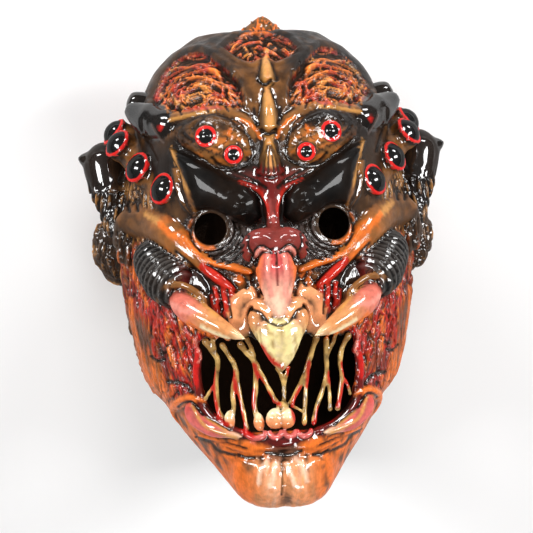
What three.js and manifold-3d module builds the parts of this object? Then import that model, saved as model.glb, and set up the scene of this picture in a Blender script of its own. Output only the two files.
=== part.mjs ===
// Spider monster mask: one hollow full-head casting in thin latex, lying on its back with the
// face up.  Millimetres.  X runs across the face, Y from the chin to the crown, and Z from the
// back of the head to the face.  Shapes are worked out in head coordinates, whose origin is on
// the centre line at the height of the wearer's eyes, in the plane where the head is widest.
import * as THREE from "three";
import { mergeVertices } from "three/addons/utils/BufferGeometryUtils.js";
import Module from "manifold-3d";

const wasm = await Module();
wasm.setup();

// Driving dimensions of the head form
const CROWN_Y = 111.5;
const SKULL_BOTTOM_Y = -172;
const BACK_FLAT_Z = -97;
const WALL = 4.5;
const NECK_EDGE_Y = -90;
const NAPE_EDGE_Y = -124;
const NAPE_START_Z = -12;
const NAPE_FULL_Z = -40;
const JAW_CUT_Z = 10;
const JAW_CUT_SLOPE = 0.77;

// Each station is the height, half width, front depth, back depth and section exponent.
const STATIONS = [
  [108.5, 35.5, 34, 22, 2.2],
  [102.7, 43.7, 48, 32, 2.2],
  [98, 49.3, 57, 40, 2.2],
  [89, 57.8, 68, 53, 2.2],
  [80, 63, 77, 64, 2.2],
  [64, 70.5, 88, 82, 2.2],
  [43, 76, 94, 96, 2.2],
  [21, 80, 96, 103, 2.2],
  [0, 81, 95, 105, 2.25],
  [-20, 82, 97, 102, 2.3],
  [-36, 81, 99, 97, 2.35],
  [-51, 78.4, 100, 91, 2.4],
  [-67, 75.4, 99, 86, 2.45],
  [-85, 69.5, 99, 80, 2.5],
  [-96, 60.5, 101, 76, 2.6],
  [-107, 54.5, 103, 72, 2.6],
  [-116, 48.8, 102, 68, 2.6],
  [-127, 41.2, 102, 64, 2.6],
  [-138, 35, 103, 60, 2.6],
  [-145, 31, 98, 56, 2.6],
  [-152, 27, 88, 50, 2.5],
  [-160, 22, 74, 40, 2.4],
];

// Driving dimensions of the face
const EYE_HOLE = { x: 33.4, y: 1, radius: 8.7 };
const MOUTH_HALF_WIDTH = 41;
const MOUTH_TOP_Y = -60;
const MOUTH_CORNER_Y = -84;
const MOUTH_FLOOR_Y = -109;
const STRAND_RADIUS = 1.9;

const smooth = (low, high, value) => THREE.MathUtils.smoothstep(value, low, high);

// Values of a station at any height, by cubic curves through the list
function stationAt(y) {
  const last = STATIONS.length - 1;
  if (y >= STATIONS[0][0]) {
    const rise = Math.min(1, (y - STATIONS[0][0]) / (CROWN_Y - STATIONS[0][0]));
    const close = Math.pow(1 - Math.pow(rise, 1.6), 0.6);
    const top = STATIONS[0];
    return { a: top[1] * close, f: top[2] * close, b: top[3] * close, n: top[4] };
  }
  if (y <= STATIONS[last][0]) {
    const rest = Math.max(0, (y - SKULL_BOTTOM_Y) / (STATIONS[last][0] - SKULL_BOTTOM_Y));
    const close = Math.sqrt(rest);
    const low = STATIONS[last];
    return { a: low[1] * close, f: low[2] * close, b: low[3] * close, n: low[4] };
  }
  let i = 0;
  while (STATIONS[i + 1][0] > y) i += 1;
  const p0 = STATIONS[Math.max(0, i - 1)];
  const p1 = STATIONS[i];
  const p2 = STATIONS[i + 1];
  const p3 = STATIONS[Math.min(last, i + 2)];
  const span = p2[0] - p1[0];
  const t = (y - p1[0]) / span;
  const value = (k) => {
    const m1 = ((p2[k] - p0[k]) / (p2[0] - p0[0])) * span;
    const m2 = ((p3[k] - p1[k]) / (p3[0] - p1[0])) * span;
    const t2 = t * t;
    const t3 = t2 * t;
    return (2 * t3 - 3 * t2 + 1) * p1[k] + (t3 - 2 * t2 + t) * m1
      + (3 * t2 - 2 * t3) * p2[k] + (t3 - t2) * m2;
  };
  return { a: value(1), f: value(2), b: value(3), n: value(4) };
}

// Depth of the plain face at a place in the front view
function faceDepth(x, y) {
  const s = stationAt(y);
  const out = Math.min(1, Math.pow(Math.abs(x) / s.a, s.n));
  return s.f * Math.pow(1 - out, 1 / s.n);
}

const onFace = (x, y, lift = 0) => [x, y, faceDepth(x, y) + lift];

// How far the broad carving stands out of the plain head form, or sinks into it
function carving(x, y, z) {
  const side = Math.abs(x);
  const front = smooth(-5, 25, z);
  const disc = (cx, cy, rx, ry, angle = 0) => {
    const c = Math.cos(angle);
    const s = Math.sin(angle);
    const u = ((side - cx) * c + (y - cy) * s) / rx;
    const v = ((y - cy) * c - (side - cx) * s) / ry;
    return 1 - smooth(0.75, 1.1, Math.hypot(u, v));
  };
  const window = disc(38, 81.5, 25, 14.5, -0.15);
  const diamond = 1 - smooth(0.8, 1.1, side / 18.5 + Math.abs(y - 99.5) / 10.5);
  const socket = disc(33, -2, 18, 15);
  const cheekHollow = disc(60, -18, 24, 15, -0.75);
  const gills = disc(46, -56, 18, 9, -0.5);
  const chinPads = disc(13, -133, 9, 14);
  const chinGroove = (1 - smooth(1, 6, side)) * (1 - smooth(-122, -112, y));
  const lip = disc(0, -115, 30, 4);
  const lipGroove = disc(0, -122, 26, 3.5);
  const sunk = Math.max(2.4 * window, 2.2 * diamond, 2.6 * socket, 2.2 * cheekHollow, 1.8 * gills);
  return front * (3 * chinPads - 2.4 * chinGroove + 2 * lip - 2.2 * lipGroove - sunk);
}

// Columns round a section: close together on the face and wider apart at the back
function columnAngles(frontCount, backCount) {
  const angles = [];
  for (let i = 0; i < frontCount; i += 1) angles.push(-Math.PI / 2 + (Math.PI * i) / frontCount);
  for (let i = 0; i < backCount; i += 1) angles.push(Math.PI / 2 + (Math.PI * i) / backCount);
  angles.push(angles[0] + 2 * Math.PI);
  return angles;
}

// Heights of the rows: close together at the two poles, where the form closes
function rowHeights(top, bottom, step) {
  const rows = [top, top - 0.25, top - 0.9, top - 2];
  const first = top - 4;
  const last = bottom + 6;
  const count = Math.round((first - last) / step);
  for (let i = 0; i <= count; i += 1) rows.push(first + ((last - first) * i) / count);
  rows.push(bottom);
  return rows;
}

// A closed head form, made of a sphere whose rows become the sections
function headForm(inset, rowStep, frontColumns, backColumns, relief) {
  const top = CROWN_Y - inset;
  const rows = rowHeights(top, SKULL_BOTTOM_Y, rowStep);
  const angles = columnAngles(frontColumns, backColumns);
  const columns = angles.length - 1;
  const geometry = new THREE.SphereGeometry(1, columns, rows.length - 1);
  const position = geometry.attributes.position;
  rows.forEach((y, row) => {
    const s = stationAt(y > 0 ? (y * CROWN_Y) / top : y);
    angles.forEach((angle, column) => {
      const sine = Math.sin(angle);
      const cosine = Math.cos(angle);
      const pole = row === 0 || row === rows.length - 1;
      const half = pole ? 0 : Math.max(0.5, s.a - inset);
      const depth = pole ? 0 : Math.max(0.5, (cosine > 0 ? s.f : s.b) - inset);
      const x = half * Math.sign(sine) * Math.pow(Math.abs(sine), 2 / s.n);
      const z = depth * Math.sign(cosine) * Math.pow(Math.abs(cosine), 2 / s.n);
      position.setXYZ(row * (columns + 1) + column, x, y, Math.max(z, BACK_FLAT_Z + inset));
    });
  });
  const form = weld(geometry);
  if (relief) {
    form.computeVertexNormals();
    const normal = form.attributes.normal;
    const p = form.attributes.position;
    for (let i = 0; i < p.count; i += 1) {
      const out = carving(p.getX(i), p.getY(i), p.getZ(i));
      p.setXYZ(i, p.getX(i) + out * normal.getX(i), p.getY(i) + out * normal.getY(i),
        p.getZ(i) + out * normal.getZ(i));
    }
  }
  return form;
}

function weld(geometry) {
  geometry.deleteAttribute("normal");
  geometry.deleteAttribute("uv");
  return mergeVertices(geometry, 1e-4);
}

function solidOf(geometry) {
  const welded = weld(geometry);
  const mesh = new wasm.Mesh({
    numProp: 3,
    vertProperties: new Float32Array(welded.attributes.position.array),
    triVerts: new Uint32Array(welded.index.array),
  });
  mesh.merge();
  return new wasm.Manifold(mesh);
}

// A bent rounded limb: a sphere drawn out along a curve, with its own radius at each place.
// The second radius of a place is its height above the face, where it isn't round.
function limb(points, radii, options = {}) {
  const { sides = 6, steps = 5, flat = 1, out = [0, 0, 1], end = 0.16, ribs = 0 } = options;
  const path = new THREE.CatmullRomCurve3(points.map((p) => new THREE.Vector3(...p)));
  const geometry = new THREE.SphereGeometry(1, sides, steps);
  const position = geometry.attributes.position;
  const outward = new THREE.Vector3(...out);
  for (let row = 0; row <= steps; row += 1) {
    const t = row / steps;
    const centre = path.getPoint(t);
    const along = path.getTangent(t);
    const up = outward.clone().addScaledVector(along, -outward.dot(along)).normalize();
    const across = new THREE.Vector3().crossVectors(along, up);
    const place = t * (radii.length - 1);
    const i = Math.min(radii.length - 2, Math.floor(place));
    let radius = THREE.MathUtils.lerp(radii[i], radii[i + 1], place - i);
    const edge = Math.min(1, Math.min(t, 1 - t) / end);
    radius *= Math.sqrt(1 - (1 - edge) * (1 - edge));
    if (ribs) radius *= 1 + 0.07 * Math.cos(2 * Math.PI * ribs * t);
    for (let column = 0; column <= sides; column += 1) {
      const turn = (column / sides) * 2 * Math.PI;
      const place3 = centre.clone()
        .addScaledVector(up, -Math.cos(turn) * radius * flat)
        .addScaledVector(across, Math.sin(turn) * radius);
      position.setXYZ(row * (sides + 1) + column, place3.x, place3.y, place3.z);
    }
  }
  return solidOf(geometry);
}

// An ellipsoid, turned in the plane of the face
function bulge(centre, radii, turn = 0, sides = 10, rows = 6) {
  const geometry = new THREE.SphereGeometry(1, sides, rows);
  geometry.scale(...radii);
  geometry.rotateZ(turn);
  geometry.translate(...centre);
  return solidOf(geometry);
}

// The same feature on both halves of the face: the maker gets a sign for the side
const pair = (make) => [make(1), make(-1)];
const mirrored = (points, sign) => points.map((p) => [p[0] * sign, p[1], p[2]]);
const pairOfLimbs = (points, radii, options) => pair((sign) => {
  const out = options?.out ?? [0, 0, 1];
  return limb(mirrored(points, sign), radii, { ...options, out: [out[0] * sign, out[1], out[2]] });
});

// Crown: the lump behind the centre window and three keeled thorns down the middle
function crown() {
  const thorn = (top, bottom, radius) => limb(
    [onFace(0, top, -1.5), onFace(0, (top + bottom) / 2, 1), onFace(0, bottom, 1.5)],
    [radius * 0.35, radius * 0.75, radius],
    { steps: 5, flat: 1.3, out: [0, 0.3, 1], end: 0.12 },
  );
  return [
    bulge([1, 101, 6], [23, 14, 27]),
    limb([[2, 108, 14], [3, 114.5, 17], [3.5, 119, 19]], [10, 5.5, 1.5], { steps: 4 }),
    thorn(94, 80, 3.9),
    thorn(71.5, 52.5, 4.4),
    thorn(48, 28.5, 7),
  ];
}

// Upper lids, almond eye pods with two eyes each, and the four stalked eyes of each side
const INNER_EYES = [[33.6, 50.6, 6.2], [19.6, 39.9, 5.2]];
const SIDE_EYES = [
  { place: [58.2, 24.2, 71], way: [0.71, 0.28, 0.64] },
  { place: [71.1, 37.1, 54], way: [0.71, 0.37, 0.6] },
  { place: [81.3, 51.4, 37], way: [0.67, 0.55, 0.5] },
  { place: [82.9, 58.6, 22], way: [0.75, 0.6, 0.26] },
];
const SIDE_EYE_RADIUS = 9.5;
const SIDE_EYE_DEPTH = 5;

function eyes() {
  const parts = [];
  parts.push(...pairOfLimbs(
    [onFace(8, 46, 1), onFace(14, 56, 0), onFace(26, 62.5, 0), onFace(42, 61.5, 0), onFace(58, 59, 0)],
    [4, 5, 5.5, 5.5, 6.5],
    { steps: 7 },
  ));
  parts.push(...pairOfLimbs(
    [onFace(9, 40, 0), onFace(20, 44.5, 1.5), onFace(33, 50.5, 2), onFace(50, 57.5, 0)],
    [4, 12, 12, 4], { steps: 6, sides: 8, flat: 0.55 },
  ));
  for (const [x, y, radius] of INNER_EYES) {
    parts.push(...pair((sign) => bulge(
      [x * sign, y, faceDepth(x, y) + 0.75 * radius], [radius, radius, radius], 0, 8, 5,
    )));
  }
  parts.push(...pairOfLimbs(
    [[46, 15, 68], [56, 24, 61], [68, 37, 45], [76, 50, 28], [77, 59, 8]], [7, 9.5, 10, 10, 9],
    { steps: 7, out: [0.6, 0, 0.8], flat: 1.1 },
  ));
  for (const { place, way } of SIDE_EYES) {
    const outward = new THREE.Vector3(...way).normalize();
    const centre = new THREE.Vector3(...place).addScaledVector(outward, -SIDE_EYE_DEPTH);
    parts.push(...pair((sign) => bulge(
      [centre.x * sign, centre.y, centre.z], Array(3).fill(SIDE_EYE_RADIUS), 0, 8, 5,
    )));
  }
  return parts;
}

// Blunt temple horns, the two-lobed side horns, and the ribbed lumps further back
function horns() {
  return [
    ...pairOfLimbs([onFace(50, 58, -3), [62, 63, 52], [73.3, 69.5, 42]], [10, 9.5, 4], { steps: 5 }),
    ...pairOfLimbs([[58, 68, 20], [68, 73, 20], [75, 75.5, 20]], [9, 8, 5.5], { steps: 4 }),
    ...pairOfLimbs([[76, 38, 2], [91, 42, 5], [104.2, 45.5, 9]], [13, 9, 2], { steps: 5 }),
    ...pairOfLimbs(
      [[82, 53, 2], [87, 42, 6], [86, 28, 11], [84, 12, 19], [81, -4, 29]], [5, 14.5, 12, 8.5, 5],
      { steps: 7, flat: 0.9 },
    ),
    ...pairOfLimbs(
      [[80, 13, -20], [85, 1, -18], [85, -14, -16], [79, -28, -14]], [7, 12, 11, 4],
      { steps: 9, sides: 7, ribs: 4, flat: 1.2 },
    ),
  ];
}

// Angry brow plates, the bridge between them, and the two-lobed nose with its wings
function browAndNose() {
  return [
    ...pair((sign) => bulge([29 * sign, 21.5, faceDepth(29, 21) - 2], [28, 13, 10], 0.6 * sign)),
    limb([onFace(0, 34, 0), onFace(0, 12, 3), onFace(0, -5, 6)], [7, 6, 6], { steps: 5 }),
    bulge([0, -8, 103], [7, 6, 8], 0, 8, 5),
    ...pairOfLimbs(
      [[3, -6, 103], [8, -5.5, 104], [13.5, -9, 103], [12.5, -18, 102]], [5.5, 5.5, 4.6, 1.2],
      { steps: 6 },
    ),
  ];
}

// Two plates of a beak below the nose: the upper one has two lobes, the lower one hangs over
// the mouth and ends in a point
function beak() {
  return [
    ...pairOfLimbs(
      [[5, -12, 102], [5.6, -22, 109], [4.6, -32, 112], [2.2, -42, 113], [0.6, -50, 114]],
      [4.4, 5.8, 5.2, 3.4, 1.2], { steps: 6, flat: 1.5 },
    ),
    ...pairOfLimbs([[12.4, -42, 106], [8.5, -51, 110], [4, -62, 110]], [2.6, 6.5, 7], { steps: 5 }),
    limb(
      [[0, -48, 110], [0, -56, 116], [0, -66, 118], [0, -78, 117]], [10, 12, 8.8, 2],
      { steps: 7, sides: 8, flat: 0.8 },
    ),
    ...pairOfLimbs(
      [onFace(22, -55, -2), onFace(19.5, -44, 2), onFace(14, -37.5, 3), [6, -36, 107]],
      [4, 3.6, 3.4, 3],
      { steps: 6 },
    ),
  ];
}

// Cheek bones: a boss at the temple and a strap that splits towards the nose and the fang
function cheekStraps() {
  return [
    ...pairOfLimbs(
      [[74, 8.5, 38], [65, 6.5, 56], onFace(55.6, 0.9, 3), onFace(46, -10.5, 3), onFace(38, -16.5, 3)],
      [10, 7.6, 6.4, 5, 3.6], { steps: 8, out: [0.4, 0, 1] },
    ),
    ...pairOfLimbs([[76, 9, 36], [79.5, -3, 36], [77, -17, 38]], [8, 7, 4], { steps: 4 }),
    ...pairOfLimbs(
      [onFace(38, -15.5, 2), onFace(24, -19.5, 3), onFace(11, -23.5, 4)], [3, 2.6, 2.6],
      { steps: 4 },
    ),
    ...pairOfLimbs(
      [onFace(39, -18, 2), onFace(31, -25, 3), onFace(25, -34, 3), onFace(25, -49, 1)],
      [3.6, 4, 5.5, 3.4], { steps: 6 },
    ),
  ];
}

// Fang limbs: a ribbed barrel, the lip round its mouth, and the curved fang
function fangs() {
  return [
    ...pairOfLimbs(
      [[70, -3, 52], [67, -13, 66], [57, -24, 80], [45, -32, 92]], [9, 14, 14.5, 9],
      { steps: 12, sides: 9, ribs: 4, out: [0.5, 0, 1], end: 0.2 },
    ),
    ...pairOfLimbs(
      [[62.5, -34, 82], [59, -29.5, 88], [50, -28.5, 97], [40.5, -34.5, 101]],
      [3.2, 3.8, 3.8, 2.6], { steps: 7 },
    ),
    ...pairOfLimbs(
      [[55, -34, 86], [46, -42.5, 98], [36, -49, 107], [27, -54.2, 113], [17, -59, 118]],
      [6, 7.4, 6.4, 4.2, 0.8],
      { steps: 7 },
    ),
  ];
}

// Mouth slot, cut right through the wall
function mouthCutter() {
  const half = MOUTH_HALF_WIDTH;
  const outline = new THREE.Shape();
  outline.moveTo(-half, MOUTH_TOP_Y);
  outline.lineTo(-half - 1, MOUTH_CORNER_Y);
  outline.quadraticCurveTo(-half + 6, MOUTH_FLOOR_Y + 3, -half / 2, MOUTH_FLOOR_Y);
  outline.lineTo(half / 2, MOUTH_FLOOR_Y);
  outline.quadraticCurveTo(half - 6, MOUTH_FLOOR_Y + 3, half + 1, MOUTH_CORNER_Y);
  outline.lineTo(half, MOUTH_TOP_Y);
  const geometry = new THREE.ExtrudeGeometry(outline, {
    depth: 90, bevelEnabled: false, curveSegments: 3,
  });
  geometry.translate(0, 0, 45);
  return solidOf(geometry);
}

// Tendons across the mouth, the two-lobed tooth in the middle, and the lip below them
const STRANDS = [
  [[38, -58], [33, -70], [34, -83], [31, -103]],
  [[31, -57], [25, -75], [26, -90], [27, -107]],
  [[24, -58], [23.5, -75], [22, -88], [18, -110]],
  [[20, -57], [14, -72], [12.5, -90], [12, -111]],
  [[14, -72], [9, -85], [3, -95]],
];

function mouth() {
  const parts = STRANDS.flatMap((line) => pairOfLimbs(
    line.map(([x, y]) => onFace(x, y, -0.5)),
    [STRAND_RADIUS * 1.5, STRAND_RADIUS, STRAND_RADIUS, STRAND_RADIUS * 1.5],
    { steps: 4, sides: 5, end: 0.1 },
  ));
  parts.push(limb([[0, -70, 114], [0, -86, 106], [0, -101, 104]], [4, 2.2, 4], { steps: 5 }));
  parts.push(...pair((sign) => bulge([3.5 * sign, -102, 104], [4.3, 8.5, 5], 0, 7, 5)));
  parts.push(...pairOfLimbs(
    [onFace(0, -112, 1), onFace(18, -110.5, 1), onFace(33, -103, 1), onFace(42.5, -92, 0),
      onFace(44.5, -76, -1), onFace(43, -62, -1)],
    [3.4, 3.2, 3, 3, 2.6, 2.4],
    { steps: 9, sides: 4, end: 0.05 },
  ));
  return parts;
}

// Lower fangs in their sleeves at the corners of the jaw
function lowerFangs() {
  return [
    ...pairOfLimbs(
      [onFace(47.5, -93, 0), onFace(44, -101, 3), onFace(36, -106, 4), onFace(20, -110.7, 3)],
      [5, 5.6, 4.4, 0.8], { steps: 6 },
    ),
    ...pairOfLimbs(
      [onFace(42, -91, 1), onFace(49, -88.5, 1), onFace(56, -94, -1), onFace(51, -104, -1)],
      [2.8, 3.6, 3.6, 2.4], { steps: 6 },
    ),
  ];
}

// The opening of the neck: level at the sides, slanting down to the chin in front and to a
// flap over the nape at the back
function neckCutter() {
  const reach = 170;
  const drop = JAW_CUT_SLOPE * (reach - JAW_CUT_Z);
  const outline = new THREE.Shape([
    new THREE.Vector2(-reach, NAPE_EDGE_Y),
    new THREE.Vector2(NAPE_FULL_Z, NAPE_EDGE_Y),
    new THREE.Vector2(NAPE_START_Z, NECK_EDGE_Y),
    new THREE.Vector2(JAW_CUT_Z, NECK_EDGE_Y),
    new THREE.Vector2(reach, NECK_EDGE_Y - drop),
    new THREE.Vector2(reach, -260),
    new THREE.Vector2(-reach, -260),
  ]);
  const geometry = new THREE.ExtrudeGeometry(outline, { depth: 300, bevelEnabled: false });
  geometry.rotateY(-Math.PI / 2);
  geometry.translate(150, 0, 0);
  return solidOf(geometry);
}

function eyeHoleCutter(sign) {
  const geometry = new THREE.CylinderGeometry(EYE_HOLE.radius, EYE_HOLE.radius, 80, 11);
  geometry.rotateX(Math.PI / 2);
  geometry.translate(EYE_HOLE.x * sign, EYE_HOLE.y, 95);
  return solidOf(geometry);
}

function eyeHoleRim(sign) {
  const { x, y, radius } = EYE_HOLE;
  const geometry = new THREE.TorusGeometry(radius + 1.8, 2.6, 4, 11);
  geometry.rotateY(0.3 * sign);
  geometry.translate(x * sign, y, faceDepth(x, y) - 1);
  return solidOf(geometry);
}

const join = (solids) => solids.reduce((all, next) => all.add(next));
const cut = (solid, tools) => tools.reduce((rest, tool) => rest.subtract(tool), solid);

function maskSolid() {
  const head = solidOf(headForm(0, 10.4, 28, 8, true));
  const inside = [solidOf(headForm(WALL, 21, 14, 7, false)), neckCutter()];
  const outside = join([
    head, ...crown(), ...eyes(), ...horns(), ...browAndNose(), ...cheekStraps(),
    ...pair(eyeHoleRim),
  ]);
  const shell = cut(outside, [...inside, ...pair(eyeHoleCutter), mouthCutter()]);
  return shell.add(cut(join([...beak(), ...fangs(), ...mouth(), ...lowerFangs()]), inside));
}

// Lying on its back: the lowest face rests at Z = 0 under the middle of the outline
function geometryOf(solid) {
  const mesh = solid.getMesh();
  const geometry = new THREE.BufferGeometry();
  geometry.setAttribute("position", new THREE.BufferAttribute(mesh.vertProperties, mesh.numProp));
  geometry.setIndex(new THREE.BufferAttribute(mesh.triVerts, 1));
  geometry.computeBoundingBox();
  const { min, max } = geometry.boundingBox;
  geometry.translate(-(min.x + max.x) / 2, -(min.y + max.y) / 2, -min.z);
  geometry.computeVertexNormals();
  return geometry;
}

const latex = new THREE.MeshStandardMaterial({ color: 0x4a2417, roughness: 0.28, metalness: 0 });
const mask = new THREE.Mesh(geometryOf(maskSolid()), latex);
mask.name = "mask_shell";
const part = new THREE.Group();
part.add(mask);
export default part;
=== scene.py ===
"""Spider monster mask: one hollow latex casting with glossy hand paint, lying on the back of its head."""

import copy
import math
from collections import namedtuple

import bpy
import numpy as np
from mathutils import Matrix, Vector


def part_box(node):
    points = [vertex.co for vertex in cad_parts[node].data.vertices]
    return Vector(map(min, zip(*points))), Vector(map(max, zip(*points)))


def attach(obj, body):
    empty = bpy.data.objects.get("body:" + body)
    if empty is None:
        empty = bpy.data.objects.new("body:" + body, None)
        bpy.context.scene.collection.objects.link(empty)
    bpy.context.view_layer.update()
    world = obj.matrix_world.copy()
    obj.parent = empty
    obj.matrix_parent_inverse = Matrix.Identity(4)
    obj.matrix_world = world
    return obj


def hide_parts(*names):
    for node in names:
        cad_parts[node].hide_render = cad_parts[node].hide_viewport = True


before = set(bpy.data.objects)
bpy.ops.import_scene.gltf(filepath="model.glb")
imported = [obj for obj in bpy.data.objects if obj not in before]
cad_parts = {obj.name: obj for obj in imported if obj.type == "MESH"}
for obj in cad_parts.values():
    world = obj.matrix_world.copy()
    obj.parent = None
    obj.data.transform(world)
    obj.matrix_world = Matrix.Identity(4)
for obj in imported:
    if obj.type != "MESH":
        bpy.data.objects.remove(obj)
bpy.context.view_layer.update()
bpy.ops.object.select_all(action="DESELECT")

# Shapes are worked out in millimetres from the middle of the widest plane of the head, at the
# height of the wearer's eyes: x across, y to the crown, z out of the face.
MM = 0.001
CROWN_TIP_Y = 119.0
BACK_REST_Z = -97.0
node_low, node_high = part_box("mask_shell")
HEAD_TO_FRAME = Matrix.Translation((
    (node_low[0] + node_high[0]) / 2,
    node_high[1] - CROWN_TIP_Y * MM,
    node_low[2] - BACK_REST_Z * MM,
)) @ Matrix.Scale(MM, 4)


# Camera: it looks down on the face, a little from the mask's right, and leans a little
FACE_PLANE_Z = 85.0
CAMERA_REACH = 1615.0
FIELD_WIDTH = 287.8
CAMERA_AIM = Vector((-3.9, -20.6, FACE_PLANE_Z))
CAMERA_YAW = math.radians(2.8)
CAMERA_LEAN = math.radians(2.6)
SENSOR = 36.0
NEAREST_SEEN = 0.05
FARTHEST_SEEN = 20


def make_camera():
    data = bpy.data.cameras.new("camera")
    data.sensor_width = SENSOR
    data.lens = SENSOR * CAMERA_REACH / FIELD_WIDTH
    data.clip_start = NEAREST_SEEN
    data.clip_end = FARTHEST_SEEN
    camera = bpy.data.objects.new("camera", data)
    bpy.context.collection.objects.link(camera)
    back = Vector((-math.sin(CAMERA_YAW), 0, math.cos(CAMERA_YAW)))
    up = Vector((math.sin(CAMERA_LEAN), math.cos(CAMERA_LEAN), 0))
    right = up.cross(back).normalized()
    up = back.cross(right)
    camera.rotation_mode = "QUATERNION"
    camera.rotation_quaternion = Matrix((right, up, back)).transposed().to_quaternion()
    camera.location = HEAD_TO_FRAME @ (CAMERA_AIM + back * CAMERA_REACH)
    bpy.context.scene.camera = camera


make_camera()


# Head form: height, half width, front depth, back depth and section exponent of each station
CROWN_Y = 111.5
BOTTOM_Y = -172.0
WALL = 4.5
STATIONS = np.array([
    [108.5, 35.5, 34, 22, 2.2],
    [102.7, 43.7, 48, 32, 2.2],
    [98, 49.3, 57, 40, 2.2],
    [89, 57.8, 68, 53, 2.2],
    [80, 63, 77, 64, 2.2],
    [64, 70.5, 88, 82, 2.2],
    [43, 76, 94, 96, 2.2],
    [21, 80, 96, 103, 2.2],
    [0, 81, 95, 105, 2.25],
    [-20, 82, 97, 102, 2.3],
    [-36, 81, 99, 97, 2.35],
    [-51, 78.4, 100, 91, 2.4],
    [-67, 75.4, 99, 86, 2.45],
    [-85, 69.5, 99, 80, 2.5],
    [-96, 60.5, 101, 76, 2.6],
    [-107, 54.5, 103, 72, 2.6],
    [-116, 48.8, 102, 68, 2.6],
    [-127, 41.2, 102, 64, 2.6],
    [-138, 35, 103, 60, 2.6],
    [-145, 31, 98, 56, 2.6],
    [-152, 27, 88, 50, 2.5],
    [-160, 22, 74, 40, 2.4],
])


def ease(low, high, value):
    """Smooth step from 0 at low to 1 at high."""
    t = np.clip((value - low) / (high - low), 0, 1)
    return t * t * (3 - 2 * t)


def station_at(y):
    """Half width, front depth, back depth and exponent at heights y, by cubic curves."""
    y = np.atleast_1d(np.asarray(y, dtype=float))
    high, low = STATIONS[0, 0], STATIONS[-1, 0]
    inner = np.clip(y, low, high)
    last = len(STATIONS) - 1
    i = np.clip(np.searchsorted(-STATIONS[:, 0], -inner, side="right") - 1, 0, last - 1)
    p0 = STATIONS[np.maximum(i - 1, 0)]
    p1 = STATIONS[i]
    p2 = STATIONS[i + 1]
    p3 = STATIONS[np.minimum(i + 2, last)]
    span = p2[:, :1] - p1[:, :1]
    t = (inner[:, None] - p1[:, :1]) / span
    m1 = (p2 - p0) / (p2[:, :1] - p0[:, :1]) * span
    m2 = (p3 - p1) / (p3[:, :1] - p1[:, :1]) * span
    value = ((2 * t**3 - 3 * t**2 + 1) * p1 + (t**3 - 2 * t**2 + t) * m1
             + (3 * t**2 - 2 * t**3) * p2 + (t**3 - t**2) * m2)[:, 1:]
    rise = np.clip((y - high) / (CROWN_Y - high), 0, 1)
    rest = np.clip((y - BOTTOM_Y) / (low - BOTTOM_Y), 0, 1)
    close = np.where(y > high, (1 - rise**1.6) ** 0.6, np.where(y < low, np.sqrt(rest), 1.0))
    value[:, :3] *= close[:, None]
    return value


def face_depth(x, y):
    """Depth of the plain face at places in the front view."""
    s = station_at(y)
    out = np.clip((np.abs(x) / s[:, 0]) ** s[:, 3], 0, 1)
    return s[:, 1] * (1 - out) ** (1 / s[:, 3])


def on_face(x, y, lift=0.0):
    """A place of the front view, lifted off the plain face."""
    return (x, y, float(face_depth(x, y)[0]) + lift)


# Closed forms are balls drawn out along a curve.  Each keeps what it is painted with.
MIRROR = (-1, 1, 1)
OFF_FORM = 99.0
FORM_STEPS = 48
ball_shapes = {}


def ball_shape(sides, rings):
    """Places and faces of a unit ball, made once for each fineness."""
    if (sides, rings) not in ball_shapes:
        bpy.ops.mesh.primitive_uv_sphere_add(segments=sides, ring_count=rings, radius=1)
        ball = bpy.context.object
        mesh = ball.data
        places = np.array([v.co[:] for v in mesh.vertices])
        faces = [tuple(p.vertices) for p in mesh.polygons]
        ball_shapes[sides, rings] = (places, faces)
        bpy.data.objects.remove(ball)
        bpy.data.meshes.remove(mesh)
    return ball_shapes[sides, rings]


def along_curve(points, t):
    """Places on a smooth curve through the points, and its directions, at t from 0 to 1."""
    p = np.asarray(points, dtype=float)
    t = np.asarray(t, dtype=float)
    p = np.vstack([2 * p[0] - p[1], p, 2 * p[-1] - p[-2]])
    place = np.clip(t, 0, 1) * (len(p) - 3)
    i = np.minimum(place.astype(int), len(p) - 4)
    w = (place - i)[:, None]
    a, b, c, d = p[i], p[i + 1], p[i + 2], p[i + 3]
    where = 0.5 * (2 * b + (c - a) * w + (2 * a - 5 * b + 4 * c - d) * w**2
                   + (3 * b - a - 3 * c + d) * w**3)
    way = 0.5 * ((c - a) + 2 * (2 * a - 5 * b + 4 * c - d) * w
                 + 3 * (3 * b - a - 3 * c + d) * w**2)
    return where, way / np.maximum(np.linalg.norm(way, axis=1, keepdims=True), 1e-9)


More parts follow.
